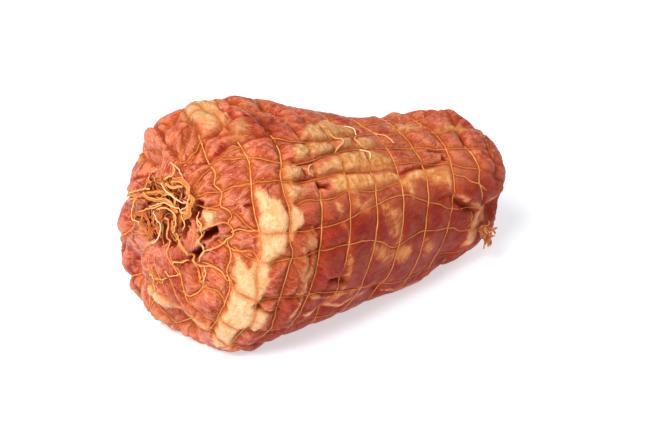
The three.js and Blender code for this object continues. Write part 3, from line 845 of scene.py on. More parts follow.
def make_meat():
    """The grid, moved out along its normals and flattened on the table, closed by a fan at each end."""
    points = SKIN + NORMAL * RISE[..., None]
    points[..., 2] = np.maximum(points[..., 2], 0.0)
    front = points[0].mean(0)
    back = points[-1].mean(0)
    r, c = np.meshgrid(np.arange(ROWS - 1), np.arange(COLUMNS), indexing="ij")
    n = (c + 1) % COLUMNS
    at = lambda row, column: 1 + row * COLUMNS + column
    quads = np.stack([at(r, c), at(r, n), at(r + 1, n), at(r + 1, c)], -1).reshape(-1, 4)
    column = np.arange(COLUMNS)
    after = (column + 1) % COLUMNS
    end = 1 + ROWS * COLUMNS
    first = np.stack([np.zeros(COLUMNS, int), at(0, after), at(0, column)], -1)
    last = np.stack([np.full(COLUMNS, end), at(ROWS - 1, column), at(ROWS - 1, after)], -1)
    everything = np.vstack([front[None], points.reshape(-1, 3), back[None]])
    piece = make_mesh("meat_surface", everything, quads, np.vstack([first, last]))
    poles = lambda grid: np.concatenate([[grid[0].mean()], grid.ravel(), [grid[-1].mean()]])
    smoke = 0.5 * MUSCLE_SHADE + 0.5 * ease(-1.0, 1.0, noise(SKIN, 40.0, 70))
    # Darker on the near flank and underneath: partly smoke browning, partly painted shade. A faint share
    # over the top, and patches on the far sides.
    browned_and_shaded = ease(132, 160, GRID_ANGLE) * ease(90, 120, GRID_REACH) * ease(330, 290, GRID_ANGLE)
    browned_and_shaded = np.maximum(
        browned_and_shaded,
        0.16 * ease(85, 115, GRID_REACH) * ease(60, 75, GRID_ANGLE) * ease(240, 200, GRID_ANGLE))
    browned_and_shaded = np.maximum(browned_and_shaded, ease(0.0, 0.5, noise(SKIN, 70.0, 71)) * hidden_share() * 0.8)
    string = np.exp(-((NET_GAP / 3.0) ** 2)) * ease(24, 40, GRID_REACH)
    stored = {"crevice_shading": CREVICE_SHADING, "browned_and_shaded": browned_and_shaded, "stain": swell(STAINS_AND_SHADE).clip(-1, 1), "fat": FAT,
              "firm": FIRMNESS, "tone": TONE, "hollow_shade": HOLLOW_SHADE, "smoke": smoke, "string": string}
    for name, grid in stored.items():
        keep_numbers(piece, name, poles(grid))
    grain = SKIN - FIBRES * ((SKIN * FIBRES).sum(-1) * 0.8)[..., None]
    grain = np.vstack([grain[0, 0], grain.reshape(-1, 3), grain[-1, 0]])
    keep_numbers(piece, "grain", grain * MM)
    return piece


# ---- Strings -----------------------------------------------------------------------------------


def carry_profile(string, sides):
    """A string: an oval profile carried along a path. Each point is the path's point, plus the
    radius times (cosine of the turn along the side way, sine along the up way, made flatter)."""
    path, up, radius = string["path"], string["up"], string["radius"]
    closed, flat = string.get("closed", False), string.get("flat", 1.0)
    tangent = np.roll(path, -1, 0) - np.roll(path, 1, 0) if closed else np.gradient(path, axis=0)
    tangent = unit(tangent)
    side = unit(np.cross(tangent, up))
    up = unit(np.cross(side, tangent))
    turn = np.linspace(0, 2 * np.pi, sides, endpoint=False)
    c, s = np.cos(turn), np.sin(turn)
    across = side[:, None] * c[None, :, None] + up[:, None] * (s * flat)[None, :, None]
    points = path[:, None] + across * (radius + np.zeros(len(path)))[:, None, None]
    steps = np.linalg.norm(np.diff(path, axis=0), axis=-1)
    length = np.concatenate([[0.0], np.cumsum(steps)])
    yarn = np.stack([np.tile(c, (len(path), 1)), np.tile(s, (len(path), 1)),
                     np.tile(length[:, None], (1, sides))], -1)
    count = len(path)
    r, k = np.meshgrid(np.arange(count if closed else count - 1), np.arange(sides), indexing="ij")
    r2, k2 = (r + 1) % count, (k + 1) % sides
    quads = np.stack([r * sides + k, r2 * sides + k, r2 * sides + k2, r * sides + k2], -1).reshape(-1, 4)
    points, yarn = points.reshape(-1, 3), yarn.reshape(-1, 3)
    triangles = np.zeros((0, 3), int)
    if not closed:
        tips = np.stack([path[0] - tangent[0] * radius[0] * 0.6,
                         path[-1] + tangent[-1] * radius[-1] * 0.6])
        k = np.arange(sides)
        k2 = (k + 1) % sides
        last = (count - 1) * sides
        start = np.stack([np.full(sides, count * sides), k, k2], -1)
        finish = np.stack([np.full(sides, count * sides + 1), last + k2, last + k], -1)
        triangles = np.vstack([start, finish])
        points = np.vstack([points, tips])
        yarn = np.vstack([yarn, [0, 0, 0], [0, 0, length[-1]]])
    return points, quads, triangles, yarn


def make_strings(name, strings, sides):
    """Joins many strings into one piece, and stores each one's tone and yarn coordinates."""
    points, quads, triangles, yarn, tone = [], [], [], [], []
    count = 0
    for string in strings:
        p, q, t, y = carry_profile(string, sides)
        points.append(p)
        quads.append(q + count)
        triangles.append(t + count)
        yarn.append(y)
        shade = string.get("tone", 0.5) + np.zeros(len(string["path"]))
        tips = [] if string.get("closed", False) else [shade[0], shade[-1]]
        tone.append(np.append(np.repeat(shade, sides), tips))
        count += len(p)
    piece = make_mesh(name, np.vstack(points), np.vstack(quads), np.vstack(triangles))
    keep_numbers(piece, "yarn", np.vstack(yarn))
    keep_numbers(piece, "tone", np.concatenate(tone))
    return piece


def lay_on_meat(reach, angle, radius, evening=4, closed=False):
    """Lays a line of places on the bed as a taut string does: the bed's height, evened out."""
    height = sample(BED, reach, angle)
    if closed:
        tripled = settle(np.tile(height, 3), evening)
        height = tripled[len(height):2 * len(height)]
    else:
        height = settle(height, evening)
    height = np.maximum(height, sample(BED, reach, angle) - 0.3)
    normal = sample(NORMAL, reach, angle)
    path = sample(SKIN, reach, angle)
    sunk = bury(path, BURIED + BURIED_RINGS if closed else BURIED)
    path = path + normal * (height - sunk)[:, None]
    path[:, 2] = np.maximum(path[:, 2], radius)
    radius = radius * (1 + 0.4 * noise(path, 4.0, 57))
    thinned = 0.3 * ease(-5.0, 0.0, sample(FAT, reach, angle)) * ease(116, 108, reach)
    radius = radius * (1 - thinned * ease(128, 138, angle))
    path += 0.3 * np.stack([noise(path, 4.5, 93 + k) for k in range(3)], -1)
    return {"path": path, "up": normal, "radius": radius, "closed": closed}


RING_RADIUS, STRAND_RADIUS, FRONT_RADIUS, LOOP_RADIUS = 0.42, 0.38, 0.43, 0.44
FOLD_DEPTH = 3.4

# Where the strings run under folds: reach, angle and radius.
BURIED = (
    (60, 44, 22), (64, 76, 14), (80, 60, 18), (84, 84, 14), (100, 84, 16), (104, 62, 20), (122, 78, 16),
    (104, 100, 10), (86, 104, 6), (136, 70, 18), (317, 70, 20), (318, 100, 22), (318, 130, 24),
    (318, 160, 22), (317, 186, 18), (300, 80, 9),
)
# Where fat lumps cover the rings alone.
BURIED_RINGS = (
    (134, 112, 16), (152, 104, 14), (168, 104, 15), (186, 108, 11), (130, 128, 7), (146, 125, 8),
    (160, 124, 9), (174, 124, 9), (190, 124, 9), (112, 131, 6), (277, 66, 14), (277, 84, 14),
    (276, 102, 13), (275, 114, 7), (284, 180, 9), (283, 194, 11), (282, 208, 12), (298, 70, 14),
    (298, 90, 12), (298, 110, 9), (298, 127, 9), (298, 143, 9), (298, 159, 9), (298, 175, 9),
    (298, 191, 10), (298, 207, 12),
)
# Slack loops that stand off the top: rows of reach, angle and lift; then tone.
LOOPS = (
    (((156, 108, 0.0), (159, 110, 0.8), (162, 112, 1.2), (161, 115, 1.2), (157, 117, 0.8),
      (154, 119, 0.0)), 1.1),
    (((187, 104, 0.0), (182, 106, 0.8), (178, 109, 1.2), (177, 112, 1.2), (179, 115, 0.8),
      (184, 116, 0.0)), 1.0),
    (((129, 127, 0.0), (125, 128, 0.8), (122, 130, 1.2), (123, 132, 0.8), (127, 133, 0.0)), 1.15),
    (((177, 117, 0.4), (180, 119, 1.2), (181, 121, 1.2), (180, 124, 0.4)), 1.3),
    (((183, 93, 0.4), (185, 96, 1.2), (186, 99, 1.2), (186, 102, 0.4)), 1.3),
    (((205, 98, 0.3), (208, 101, 0.8), (211, 104, 0.8), (214, 110, 0.3)), 1.1),
)


def bury(path, places):
    """How far a string's place sinks in: gaussians round the folds, and a slow waver elsewhere."""
    sunk = 0.35 * ease(0.15, 0.55, noise(path, 21.0, 55))
    for reach, angle, radius in places:
        middle = place_at(reach, angle)
        sunk = np.maximum(sunk, np.exp(-((path - middle) ** 2).sum(-1) / radius ** 2) * FOLD_DEPTH)
    return sunk


def even_steps(line, step):
    """Takes a line at even distances along it."""
    place = round_point(line["reach"], line["angle"])
    length = np.concatenate([[0.0], np.cumsum(np.linalg.norm(np.diff(place, axis=0), axis=-1))])
    wanted = np.linspace(0, length[-1], max(6, int(length[-1] / step)))
    return np.interp(wanted, length, line["reach"]), np.interp(wanted, length, line["angle"])


def net_strings():
    """Every ring, strand and face strand of the net, laid on the meat."""
    rng = np.random.default_rng(5)
    strings = []
    for line in RING_LINES:
        reach, angle = line["reach"][::2], line["angle"][::2]
        laid = lay_on_meat(reach, angle, RING_RADIUS, closed=True)
        laid["tone"] = rng.uniform(0.55, 0.85) - 0.3 * ease(0.0, 2.0, sample(FAT, reach, angle))
        strings.append(laid)
    for line in STRAND_LINES:
        reach, angle = even_steps(line, 1.5)
        laid = lay_on_meat(reach, angle, STRAND_RADIUS)
        laid["tone"] = rng.uniform(0.35, 0.6)
        strings.append(laid)
    for line in FACE_LINES:
        reach, angle = even_steps(line, 1.2)
        radius = FRONT_RADIUS * (0.82 + 0.22 * ease(120, 150, angle))
        laid = lay_on_meat(reach, angle, radius, evening=3)
        laid["tone"] = rng.uniform(0.3, 0.55) + 0.2 * ease(130, 160, angle)
        strings.append(laid)
    for rows, tone in LOOPS:
        curve = smooth_rows(rows, 10 * len(rows))
        reach, angle, lift = curve.T
        normal = sample(NORMAL, reach, angle)
        height = settle(sample(RISE, reach, angle), 12) + 0.3 + lift
        path = sample(SKIN, reach, angle) + normal * height[:, None]
        strings.append({"path": path, "up": normal, "radius": np.full(len(path), LOOP_RADIUS),
                        "tone": tone - 0.05})
    return strings


# ---- The gather on the big end -----------------------------------------------------------------

GATHER_LEAN = unit(np.array([-0.60, -0.62, 0.50]))
GATHER_CURLS = 54
TAIL_ENDS, TAIL_STEPS = 34, 22

# Strings laid one by one: rows of distance from the pole towards +Y, distance upwards and height.
# Then radius, flatness and tone.
LAID_STRINGS = (
    (((-18, 34, 5), (-17, 37, 7), (-12, 40, 8), (-6, 40, 8), (-1, 40, 7)), 0.60, 0.8, 1.15),
    (((-1, 40, 7), (-9, 37, 8), (-8, 32, 7), (-3, 27, 7), (0, 21, 6), (0, 16, 4)), 0.65, 0.7, 0.9),
    (((-10, 29, 6), (-17, 34, 8), (-22, 34, 8), (-25, 29, 8), (-30, 29, 7), (-30, 23, 7), (-31, 18, 6),
      (-25, 11, 4)), 1.5, 0.3, 0.6),
    (((3, 20, 8), (0, 15, 9), (-8, 15, 9), (-18, 18, 8), (-22, 20, 6)), 0.62, 0.8, 1.2),
    (((-25, 29, 8), (-27, 26, 9), (-25, 18, 8), (-23, 15, 6)), 0.58, 0.8, 1.1),
    (((33, 19, 3), (28, 17, 5), (20, 18, 6), (17, 19, 7), (16, 15, 7), (20, 8, 5)), 0.58, 0.8, 1.0),
    (((42, -3, 3), (34, 3, 6), (23, 7, 7), (13, 9, 6)), 0.9, 0.5, 0.8),
    (((28, 0, 6), (26, -6, 8), (25, -11, 8), (16, -13, 6)), 0.62, 0.8, 1.1),
    (((20, -7, 7), (12, -4, 9), (6, -2, 9), (1, 3, 7)), 0.6, 0.8, 0.9),
    (((5, -4, 8), (0, -6, 9), (-4, -8, 9), (-5, -12, 8), (-2, -18, 6), (1, -18, 3)), 0.62, 0.8, 1.2),
    (((3, -3, 8), (-6, 2, 9), (-13, 5, 9), (-19, 4, 8), (-22, -1, 6)), 0.65, 0.8, 1.0),
    (((-17, 13, 7), (-25, 12, 8), (-29, 9, 8), (-27, 4, 5)), 0.58, 0.8, 0.95),
    (((15, -6, 5), (16, -11, 7), (11, -15, 7), (2, -17, 5)), 1.5, 0.3, 0.35),
    (((-4, -4, 6), (-12, -3, 8), (-13, -9, 7), (-18, -9, 4)), 1.2, 0.3, 0.6),
    (((-11, 5, 6), (-15, 2, 8), (-20, -2, 7), (-24, -4, 4)), 1.2, 0.3, 0.45),
    (((2, -5, 6), (2, -9, 7), (-2, -12, 6), (-7, -13, 4)), 1.4, 0.3, 0.3),
    (((10, 5, 6), (7, 8, 7), (3, 7, 7), (6, 4, 7), (9, 4, 6)), 0.6, 0.7, 0.6),
    (((0, 21, 6), (-11, 24, 7), (-19, 31, 7)), 1.2, 0.35, 0.7),
    (((17, 5, 6), (9, 2, 8), (-2, 5, 8), (-17, 9, 6)), 1.3, 0.3, 0.7),
    (((39, 0, 4), (26, 2, 6), (16, 5, 6), (0, 12, 5)), 1.4, 0.3, 0.6),
    (((46, -7, 3), (36, -3, 5), (28, 1, 6)), 0.7, 0.7, 0.7),
    (((26, -19, 2), (21, -16, 4), (20, -13, 5), (23, -10, 5)), 0.9, 0.5, 0.5),
    (((2, 8, 7), (-6, 15, 8), (-12, 14, 7), (-10, 7, 6)), 1.1, 0.35, 0.65),
    (((-21, 21, 6), (-26, 22, 8), (-27, 17, 7), (-20, 12, 5)), 1.1, 0.35, 0.8),
    (((10, -2, 8), (3, 1, 9), (-9, 7, 9), (-18, 13, 7)), 0.6, 0.8, 1.1),
    (((31, 11, 3), (28, 5, 5), (26, -3, 5), (24, -9, 4), (22, -14, 2)), 1.3, 0.3, 0.5),
    (((36, 15, 2), (28, 15, 5), (19, 15, 7), (11, 13, 7)), 1.4, 0.3, 0.6),
    (((25, -9, 4), (18, -8, 6), (12, -9, 7), (7, -12, 6)), 1.3, 0.3, 0.2),
    (((31, 3, 3), (22, -1, 5), (14, 1, 6)), 1.3, 0.3, 0.4),
    (((27, 22, 2), (21, 20, 4), (15, 22, 5), (11, 27, 3)), 0.9, 0.5, 0.7),
    # Towards the near side of the middle.
    (((-36, 24, 3), (-39, 21, 5), (-44, 20, 5), (-45, 13, 5), (-46, 10, 5), (-51, 7, 4), (-49, 0, 3),
      (-48, -3, 1.5)), 0.8, 0.6, 0.85),
    (((-37, 22, 3), (-41, 19, 4), (-46, 17, 4), (-45, 8, 4), (-50, 5, 3)), 0.5, 0.8, 1.0),
    (((-32, 11, 2), (-38, 13, 4), (-43, 12, 4), (-46, 10, 3)), 0.8, 0.5, 0.6),
    (((-45, 17, 4), (-48, 21, 4), (-53, 26, 3), (-57, 29, 1.5), (-61, 29, 0.3)), 0.7, 0.7, 0.75),
    (((-50, 6, 3), (-55, 10, 2.5), (-61, 15, 1.5), (-63, 20, 0.8), (-66, 23, 0.3)), 0.7, 0.7, 0.75),
    (((-25, 1, 5), (-34, -1, 4), (-42, -3, 2.5), (-49, -5, 1.5), (-58, -2, 1), (-66, -2, 0.7),
      (-71, -8, 0.3)),
     0.9, 0.7, 0.7),
    (((-27, 1, 4), (-32, -2, 3.5), (-41, -3, 2.5), (-47, -6, 1.5), (-51, -11, 1.5), (-54, -15, 1.2),
      (-53, -19, 0.4)), 0.7, 0.7, 0.6),
    (((-25, -17, 0.5), (-28, -14, 2), (-34, -11, 2), (-38, -7, 0.5)), 0.5, 0.8, 1.0),
    (((-15, -9, 4), (-19, -12, 2.5), (-22, -15, 1.5), (-27, -18, 0.8), (-33, -21, 0.3)), 0.7, 0.7, 0.7),
    (((-18, -25, 0.5), (-23, -23, 1.8), (-28, -22, 1.5), (-32, -19, 0.4)), 0.5, 0.8, 0.9),
    (((-53, -4, 1.2), (-56, -7, 2.2), (-55, -12, 2), (-57, -15, 0.5)), 0.55, 0.8, 1.0),
    (((-47, -10, 0.5), (-52, -11, 2), (-51, -15, 2.2), (-55, -11, 2), (-53, -7, 1)), 0.7, 0.6, 0.6),
    (((1, -36, 0.5), (-6, -36, 2), (-5, -40, 2), (-9, -42, 0.5)), 0.55, 0.8, 1.0),
    (((-8, -35, 0.4), (-15, -32, 1.4), (-20, -28, 0.4)), 0.45, 0.8, 0.9),
    (((6, -26, 0.6), (4, -22, 2.5), (1, -18, 4), (-3, -17, 4)), 0.6, 0.8, 0.7),
    (((-26, 22, 3), (-31, 26, 2), (-39, 29, 1.5), (-45, 32, 1.2), (-51, 35, 0.3)), 0.55, 0.7, 0.6),
)


def above_face(across, upwards, height):
    """A place over the big end, by its distances from the pole towards +Y and towards the top."""
    reach = np.hypot(across, upwards).clip(1.0, None)
    angle = np.degrees(np.arctan2(upwards, across))
    normal = sample(NORMAL, reach, angle)
    base = sample(SKIN + NORMAL * (BED + 0.4 * SEAM_DEPTH)[..., None], reach, angle)
    way = lerp(normal, GATHER_LEAN, ease(0.5, 4.0, height)[:, None])
    return base + way * height[:, None], normal


def frayed(band, rng):
    """A band as strings side by side: each is moved across the band, and wavers in and out."""
    path, up, radius = band["path"], unit(band["up"] + np.zeros(band["path"].shape)), band["radius"]
    side = unit(np.cross(np.gradient(path, axis=0), up))
    strings = [{**band, "radius": radius * 0.85, "flat": 0.2, "tone": band["tone"] - 0.2}]
    t = np.linspace(0, 1, len(path))[:, None]
    for k in range(5):
        waver = 0.3 * np.sin(rng.uniform(4, 9) * t + rng.uniform(0, 6))
        across = (k / 2 - 1) * 0.95 * radius[:, None] + waver
        lift = 0.3 + 0.35 * np.sin(rng.uniform(4, 10) * t + rng.uniform(0, 6))
        strings.append({"path": path + side * across + up * lift, "up": up,
                        "tone": band["tone"] + rng.normal(0, 0.15),
                        "radius": rng.uniform(0.26, 0.42) * (1 - 0.3 * t[:, 0])})
    return strings


def gather_strings():
    """Strings laid one by one, then curly ones and folded bands. A curly string's heading turns
    steadily and wavers, and its places add up the heading; a band arches out from the middle."""
    rng = np.random.default_rng(23)
    strings = []
    for rows, radius, flat, tone in LAID_STRINGS:
        curve = smooth_rows(rows, 12 * len(rows))
        path, normal = above_face(*curve.T)
        path = path + 0.35 * np.stack([noise(path, 3.0, 90 + k) for k in range(3)], -1)
        t = np.linspace(0, 1, len(path))
        laid = {"path": path, "up": normal, "radius": radius * 0.8 * (0.7 + 0.3 * np.sin(np.pi * t) ** 0.5),
                "flat": flat, "tone": tone}
        strings += frayed(laid, rng) if radius > 1.2 else [laid]
    for k in range(GATHER_CURLS):
        band = k % 5 < 2
        length = rng.uniform(9, 20) if band else rng.uniform(14, 34)
        count = int(length / 0.7)
        t = np.linspace(0, 1, count)
        spot, turn = math.sqrt(rng.uniform(0, 1)), rng.uniform(0, 2 * np.pi)
        a, b = spot * math.cos(turn), spot * math.sin(turn)
        heading = rng.uniform(0, 2 * np.pi) + rng.choice((-1, 1)) * rng.uniform(1.5, 4.5) * t
        heading += rng.uniform(0.2, 0.9) * np.sin(2 * np.pi * (rng.uniform(0.8, 2.0) * t + rng.uniform()))
        step = length / count
        across, upwards = np.cumsum(np.cos(heading)) * step, np.cumsum(np.sin(heading)) * step
        across += -1 - 25 * a - 6 * b - across.mean()
        upwards += 6 + 13 * a - 19 * b - upwards.mean()
        height = 0.4 + rng.uniform(0.2, 5.0) * (1 - 0.6 * spot) * np.sin(np.pi * t) ** 0.6
        height += 0.8 * np.sin(2 * np.pi * (rng.uniform(0.5, 1.4) * t + rng.uniform()))
        path, normal = above_face(across, upwards, np.maximum(height, 0.4))
        radius = rng.uniform(0.9, 1.7) if band else rng.uniform(0.32, 0.5)
        tilt = unit(normal + (0.5 if band else 0.7) * rng.normal(size=3))
        loose = {"path": path, "up": tilt, "radius": radius * (0.75 + 0.25 * np.sin(np.pi * t)),
                 "flat": 0.32 if band else 0.8,
                 "tone": rng.uniform(-0.1, 0.4) if band else rng.uniform(0.1, 0.8)}
        strings += frayed(loose, rng) if band else [loose]
    return strings


def tail_strings():
    """Short frayed ends that leave the back pole, droop and curl."""
    rng = np.random.default_rng(8)
    root = place_at(297, 198) + np.array([-1.5, 0.0, 1.5])
    strings = []
    for _ in range(TAIL_ENDS):
        t = np.linspace(0, 1, TAIL_STEPS)
        reach = rng.uniform(5, 14)
        away = np.array([rng.uniform(0.1, 1.0), rng.uniform(-1.0, 0.2), rng.uniform(-0.7, 0.5)])
        away = away / np.linalg.norm(away)
        curl = rng.uniform(1.0, 2.2)
        phase = rng.uniform(0, 2 * np.pi, 3)
        wave = np.sin(2 * np.pi * rng.uniform(0.8, 1.6) * t[:, None] + phase) - np.sin(phase)
        path = root + away * reach * t[:, None] + curl * wave * t[:, None]
        path[:, 2] = np.maximum(path[:, 2] - 3.0 * t ** 2, 1.0)
        strings.append({"path": path, "up": np.array([0.0, 0.3, 1.0]) + np.zeros((TAIL_STEPS, 3)),
                        "radius": rng.uniform(0.5, 1.05) * (1 - 0.3 * t), "tone": rng.uniform(0.0, 0.8)})
    return strings


# ---- Finishes ----------------------------------------------------------------------------------


def colour(text):
    """A colour given as six hex digits, turned into the linear light that shaders want."""
    parts = np.array([int(text[k:k + 2], 16) for k in (0, 2, 4)]) / 255
    linear = np.where(parts <= 0.04045, parts / 12.92, ((parts + 0.055) / 1.055) ** 2.4)
    return (*linear.tolist(), 1.0)


class Finish:
    """A material and short ways to add nodes to it."""

    def __init__(self, name):
        """Starts with one shader, its output and the piece's own coordinates."""
        self.material = bpy.data.materials.new(name)
        self.material.use_nodes = True
        self.tree = self.material.node_tree
        self.tree.nodes.clear()
        self.shader = self.add("ShaderNodeBsdfPrincipled")
        output = self.add("ShaderNodeOutputMaterial")
        self.join(self.shader.outputs[0], output.inputs[0])
        self.place = self.add("ShaderNodeTexCoord").outputs["Object"]

    def add(self, kind, **settings):
        """Adds a node with the settings that it is given."""
        node = self.tree.nodes.new(kind)
        for name, value in settings.items():
            setattr(node, name, value)
        return node

    def join(self, source, target):
        """Links an output to an input, or sets the input to a plain number or colour."""
        if hasattr(source, "links"):
            self.tree.links.new(source, target)
        else:
            target.default_value = source

    def surface(self, settings):
        """Joins each named input of the shader to its value."""
        for name, value in settings.items():
            self.join(value, self.shader.inputs[name])

    def number(self, name):
        """A number stored on the piece's points."""
        return self.add("ShaderNodeAttribute", attribute_name=name).outputs["Fac"]

    def vector(self, name):
        """A vector stored on the piece's points."""
        return self.add("ShaderNodeAttribute", attribute_name=name).outputs["Vector"]

    def noise(self, place, scale, detail=4.0, rough=0.55, distort=0.0):
        """Noise from 0 to 1 at a place, with so many lumps to the metre."""
        node = self.add("ShaderNodeTexNoise")
        for name, value in (("Vector", place), ("Scale", scale), ("Detail", detail), ("Roughness", rough),
                            ("Distortion", distort)):
            self.join(value, node.inputs[name])
        return node.outputs["Fac"]

    def work(self, operation, a, b=0.0):
        """One step of arithmetic on one or two numbers."""
        node = self.add("ShaderNodeMath", operation=operation)
        for source, target in zip((a, b), node.inputs):
            self.join(source, target)
        return node.outputs[0]

    def times(self, a, b):
        """The product of two numbers."""
        return self.work("MULTIPLY", a, b)

    def plus(self, a, b):
        """The sum of two numbers."""
        return self.work("ADD", a, b)

    def minus(self, a, b):
        """The first number less the second."""
        return self.work("SUBTRACT", a, b)

    def apart(self, a, b):
        """How far apart two numbers are, without a sign."""
        return self.work("ABSOLUTE", self.minus(a, b))

    def span(self, value, low, high, to_low=0.0, to_high=1.0):
        """Maps a number's span to another, smoothly and held at its ends."""
        node = self.add("ShaderNodeMapRange", interpolation_type="SMOOTHSTEP")
        for source, target in zip((value, low, high, to_low, to_high), node.inputs):
            self.join(source, target)
        return node.outputs[0]

    def mix(self, share, a, b, blend="MIX"):
        """Blends a colour into another by a share from 0 to 1."""
        node = self.add("ShaderNodeMix", data_type="RGBA", blend_type=blend)
        self.join(share, node.inputs["Factor"])
        for source, name in ((a, "A_Color"), (b, "B_Color")):
            target = next(s for s in node.inputs if s.identifier == name)
            self.join(colour(source) if isinstance(source, str) else source, target)
        return next(s for s in node.outputs if s.identifier == "Result_Color")

    def layers(self, base, rows):
        """Lays colours over a base in turn. A row is a number, the span in which the colour comes in
        from nothing to its most, that most, and the colour."""
        for value, low, high, most, shade in rows:
            base = self.mix(self.span(value, low, high, 0.0, most), base, shade)
        return base

    def bump(self, height, distance, strength):
        """Tilts the surface as a height would that is so many metres at 1."""
        node = self.add("ShaderNodeBump")
        for name, value in (("Height", height), ("Distance", distance), ("Strength", strength)):
            self.join(value, node.inputs[name])
        return node.outputs["Normal"]


def smoked_meat():
    """Lean with fibre streaks and marbling, cream to tan fat, painted shade in the seams, pits, creases and
    crevices, painted highlights on ridges, peaks and glints, and a moist surface.
    """
    f = Finish("smoked_meat")
    stored = ("fat", "tone", "hollow_shade", "smoke", "string", "crevice_shading", "browned_and_shaded", "stain", "firm")
    fat, tone, hollow_shade, smoke, string, crevice_shading, browned_and_shaded, stain, firm = (f.number(name) for name in stored)
    grain = f.vector("grain")

    broad = f.noise(f.place, 26.0, 3.0)
    blotch = f.noise(f.place, 75.0, 5.0, 0.6, 0.6)
    fine = f.noise(f.place, 420.0, 5.0, 0.65)
    glaze = f.noise(f.place, 60.0, 5.0, 0.62, 0.9)
    glint = f.noise(f.place, 700.0, 3.0, 0.6, 0.3)
    crumb = f.noise(f.place, 190.0, 6.0, 0.7, 0.4)
    knobbly = f.apart(f.noise(f.place, 290.0, 4.0, 0.68, 0.9), 0.5)
    vein = f.apart(f.noise(f.place, 42.0, 6.0, 0.55, 1.2), 0.5)
    fibre = f.noise(grain, 330.0, 5.0, 0.6, 0.6)
    crease = f.span(f.apart(f.noise(grain, 230.0, 3.0, 0.5, 1.4), 0.5), 0.03, 0.0)
    thread = f.noise(grain, 620.0, 3.0, 0.55, 1.0)
    hair = f.span(f.apart(thread, 0.48), 0.05, 0.0)
    gleam = f.span(f.apart(thread, 0.6), 0.05, 0.0)

    lean = f.mix(f.span(broad, 0.35, 0.65), "B22E1C", "C8482C")
    lean = f.layers(lean, (
        (blotch, 0.4, 0.7, 1.0, "D86840"),
        (fibre, 0.5, 0.72, 0.8, "EC9A62"),
        (fibre, 0.47, 0.3, 0.75, "A41C0E"),
        (fine, 0.55, 0.78, 0.65, "F8BC8C"),
        (fine, 0.45, 0.25, 0.5, "B22414"),
        (smoke, 0.5, 1.0, 0.4, "A43A20"),
        (glaze, 0.52, 0.7, 0.34, "DC7A3C"),
        (glaze, 0.46, 0.3, 0.35, "B83020"),
    ))
    # Dark lines in the fine creases and grooves, light ones on the fine ridges: painted shade and painted
    # highlight.
    for line, most, shade in ((crease, 0.55, "8A2010"), (hair, 0.4, "A02E18"), (gleam, 0.45, "FFC49A")):
        lean = f.mix(f.times(line, most), lean, shade)
    lean = f.layers(lean, (
        # Painted glints: small pale specks standing in for wet highlights.
        (glint, 0.64, 0.72, 0.7, "FFE2CC"),
        # Painted shade in the crevices and painted highlight on the peaks.
        (firm, 0.2, 1.0, 0.5, "B0442A"),
        (crevice_shading, 0.1, 1.0, 0.62, "941C0A"),
        (crevice_shading, -0.1, -0.7, 0.46, "F0A67C"),
        (fat, -2.4, 0.6, 0.5, "E08C58"),
    ))
    marbling = f.times(f.span(vein, 0.014, 0.0), f.span(blotch, 0.4, 0.55))
    lean = f.mix(f.times(marbling, 0.6), lean, "F0AC76")

    cream = f.mix(f.span(crumb, 0.38, 0.62), "F0C47C", "FFE8B2")
    gold = f.mix(f.span(crumb, 0.38, 0.62), "DC8C38", "FFCA6C")
    tan = f.mix(f.span(crumb, 0.35, 0.66), "C87A3A", "EEB266")
    pale = f.mix(f.span(crumb, 0.35, 0.66), "E8A868", "FAD09C")
    fat_colour = f.layers(pale, (
        (tone, PALE, CREAM, 1.0, cream),
        (tone, CREAM, GOLD, 1.0, gold),
        (tone, GOLD, TAN, 1.0, tan),
        (blotch, 0.52, 0.75, 0.3, "E49C54"),
        (fine, 0.56, 0.76, 0.42, "D88838"),
        (fine, 0.45, 0.28, 0.6, "FCE6B4"),
        (glaze, 0.5, 0.68, 0.45, "E6A040"),
        # Painted shade in the fat's crevices and painted highlight on its peaks.
        (crevice_shading, 0.08, 0.9, f.span(tone, -0.2, 0.3, 0.35, 0.6), "C8703A"),
        (crevice_shading, -0.05, -0.6, 0.45, "FFE2AC"),
    ))
    lumpy = f.span(tone, 0.1, 0.4, 0.55, 1.0)
    # The lumps' grooves get painted shade and their ridges painted highlight.
    fat_colour = f.mix(f.times(f.span(knobbly, 0.04, 0.0, 0.0, 0.45), lumpy), fat_colour, "CC7024")
    fat_colour = f.mix(f.times(f.span(knobbly, 0.07, 0.16, 0.0, 0.6), lumpy), fat_colour, "FFDE94")
    rim = f.times(f.span(fat, 3.2, 0.2, 0.0, 0.42), f.span(tone, 0.4, 0.0, 0.3, 1.0))
    fat_colour = f.mix(rim, fat_colour, "DFA050")

    ragged = f.plus(f.times(f.minus(blotch, 0.5), 5.0), f.times(f.minus(fibre, 0.5), 5.0))
    share = f.span(f.plus(fat, ragged), -1.3, 1.3)
    base = f.mix(share, lean, fat_colour)
    base = f.mix(f.times(string, f.span(share, 0.0, 1.0, 0.42, 0.55)), base, "DA8438")
    amber = f.times(f.span(stain, 0.0, 1.0, 0.0, 0.5), f.span(share, 0.0, 1.0, 1.0, 0.3))
    base = f.mix(amber, base, "D88A5A")
    # Negative numbers darken the meat: partly its own darker patches, partly painted shade.
    base = f.mix(f.span(stain, 0.0, -1.0, 0.0, 0.8), base, f.mix(1.0, base, "C08474", "MULTIPLY"))
    # Darker on the near flank and underneath: partly smoke browning, partly painted shade.
    crust_and_shade = f.times(browned_and_shaded, f.span(share, 0.0, 1.0, 0.94, 0.35))
    base = f.mix(crust_and_shade, base, f.mix(1.0, base, "C2643C", "MULTIPLY"))
    base = f.mix(f.times(f.span(glaze, 0.46, 0.66, 0.0, 0.4), crust_and_shade), base, "A85A2C")
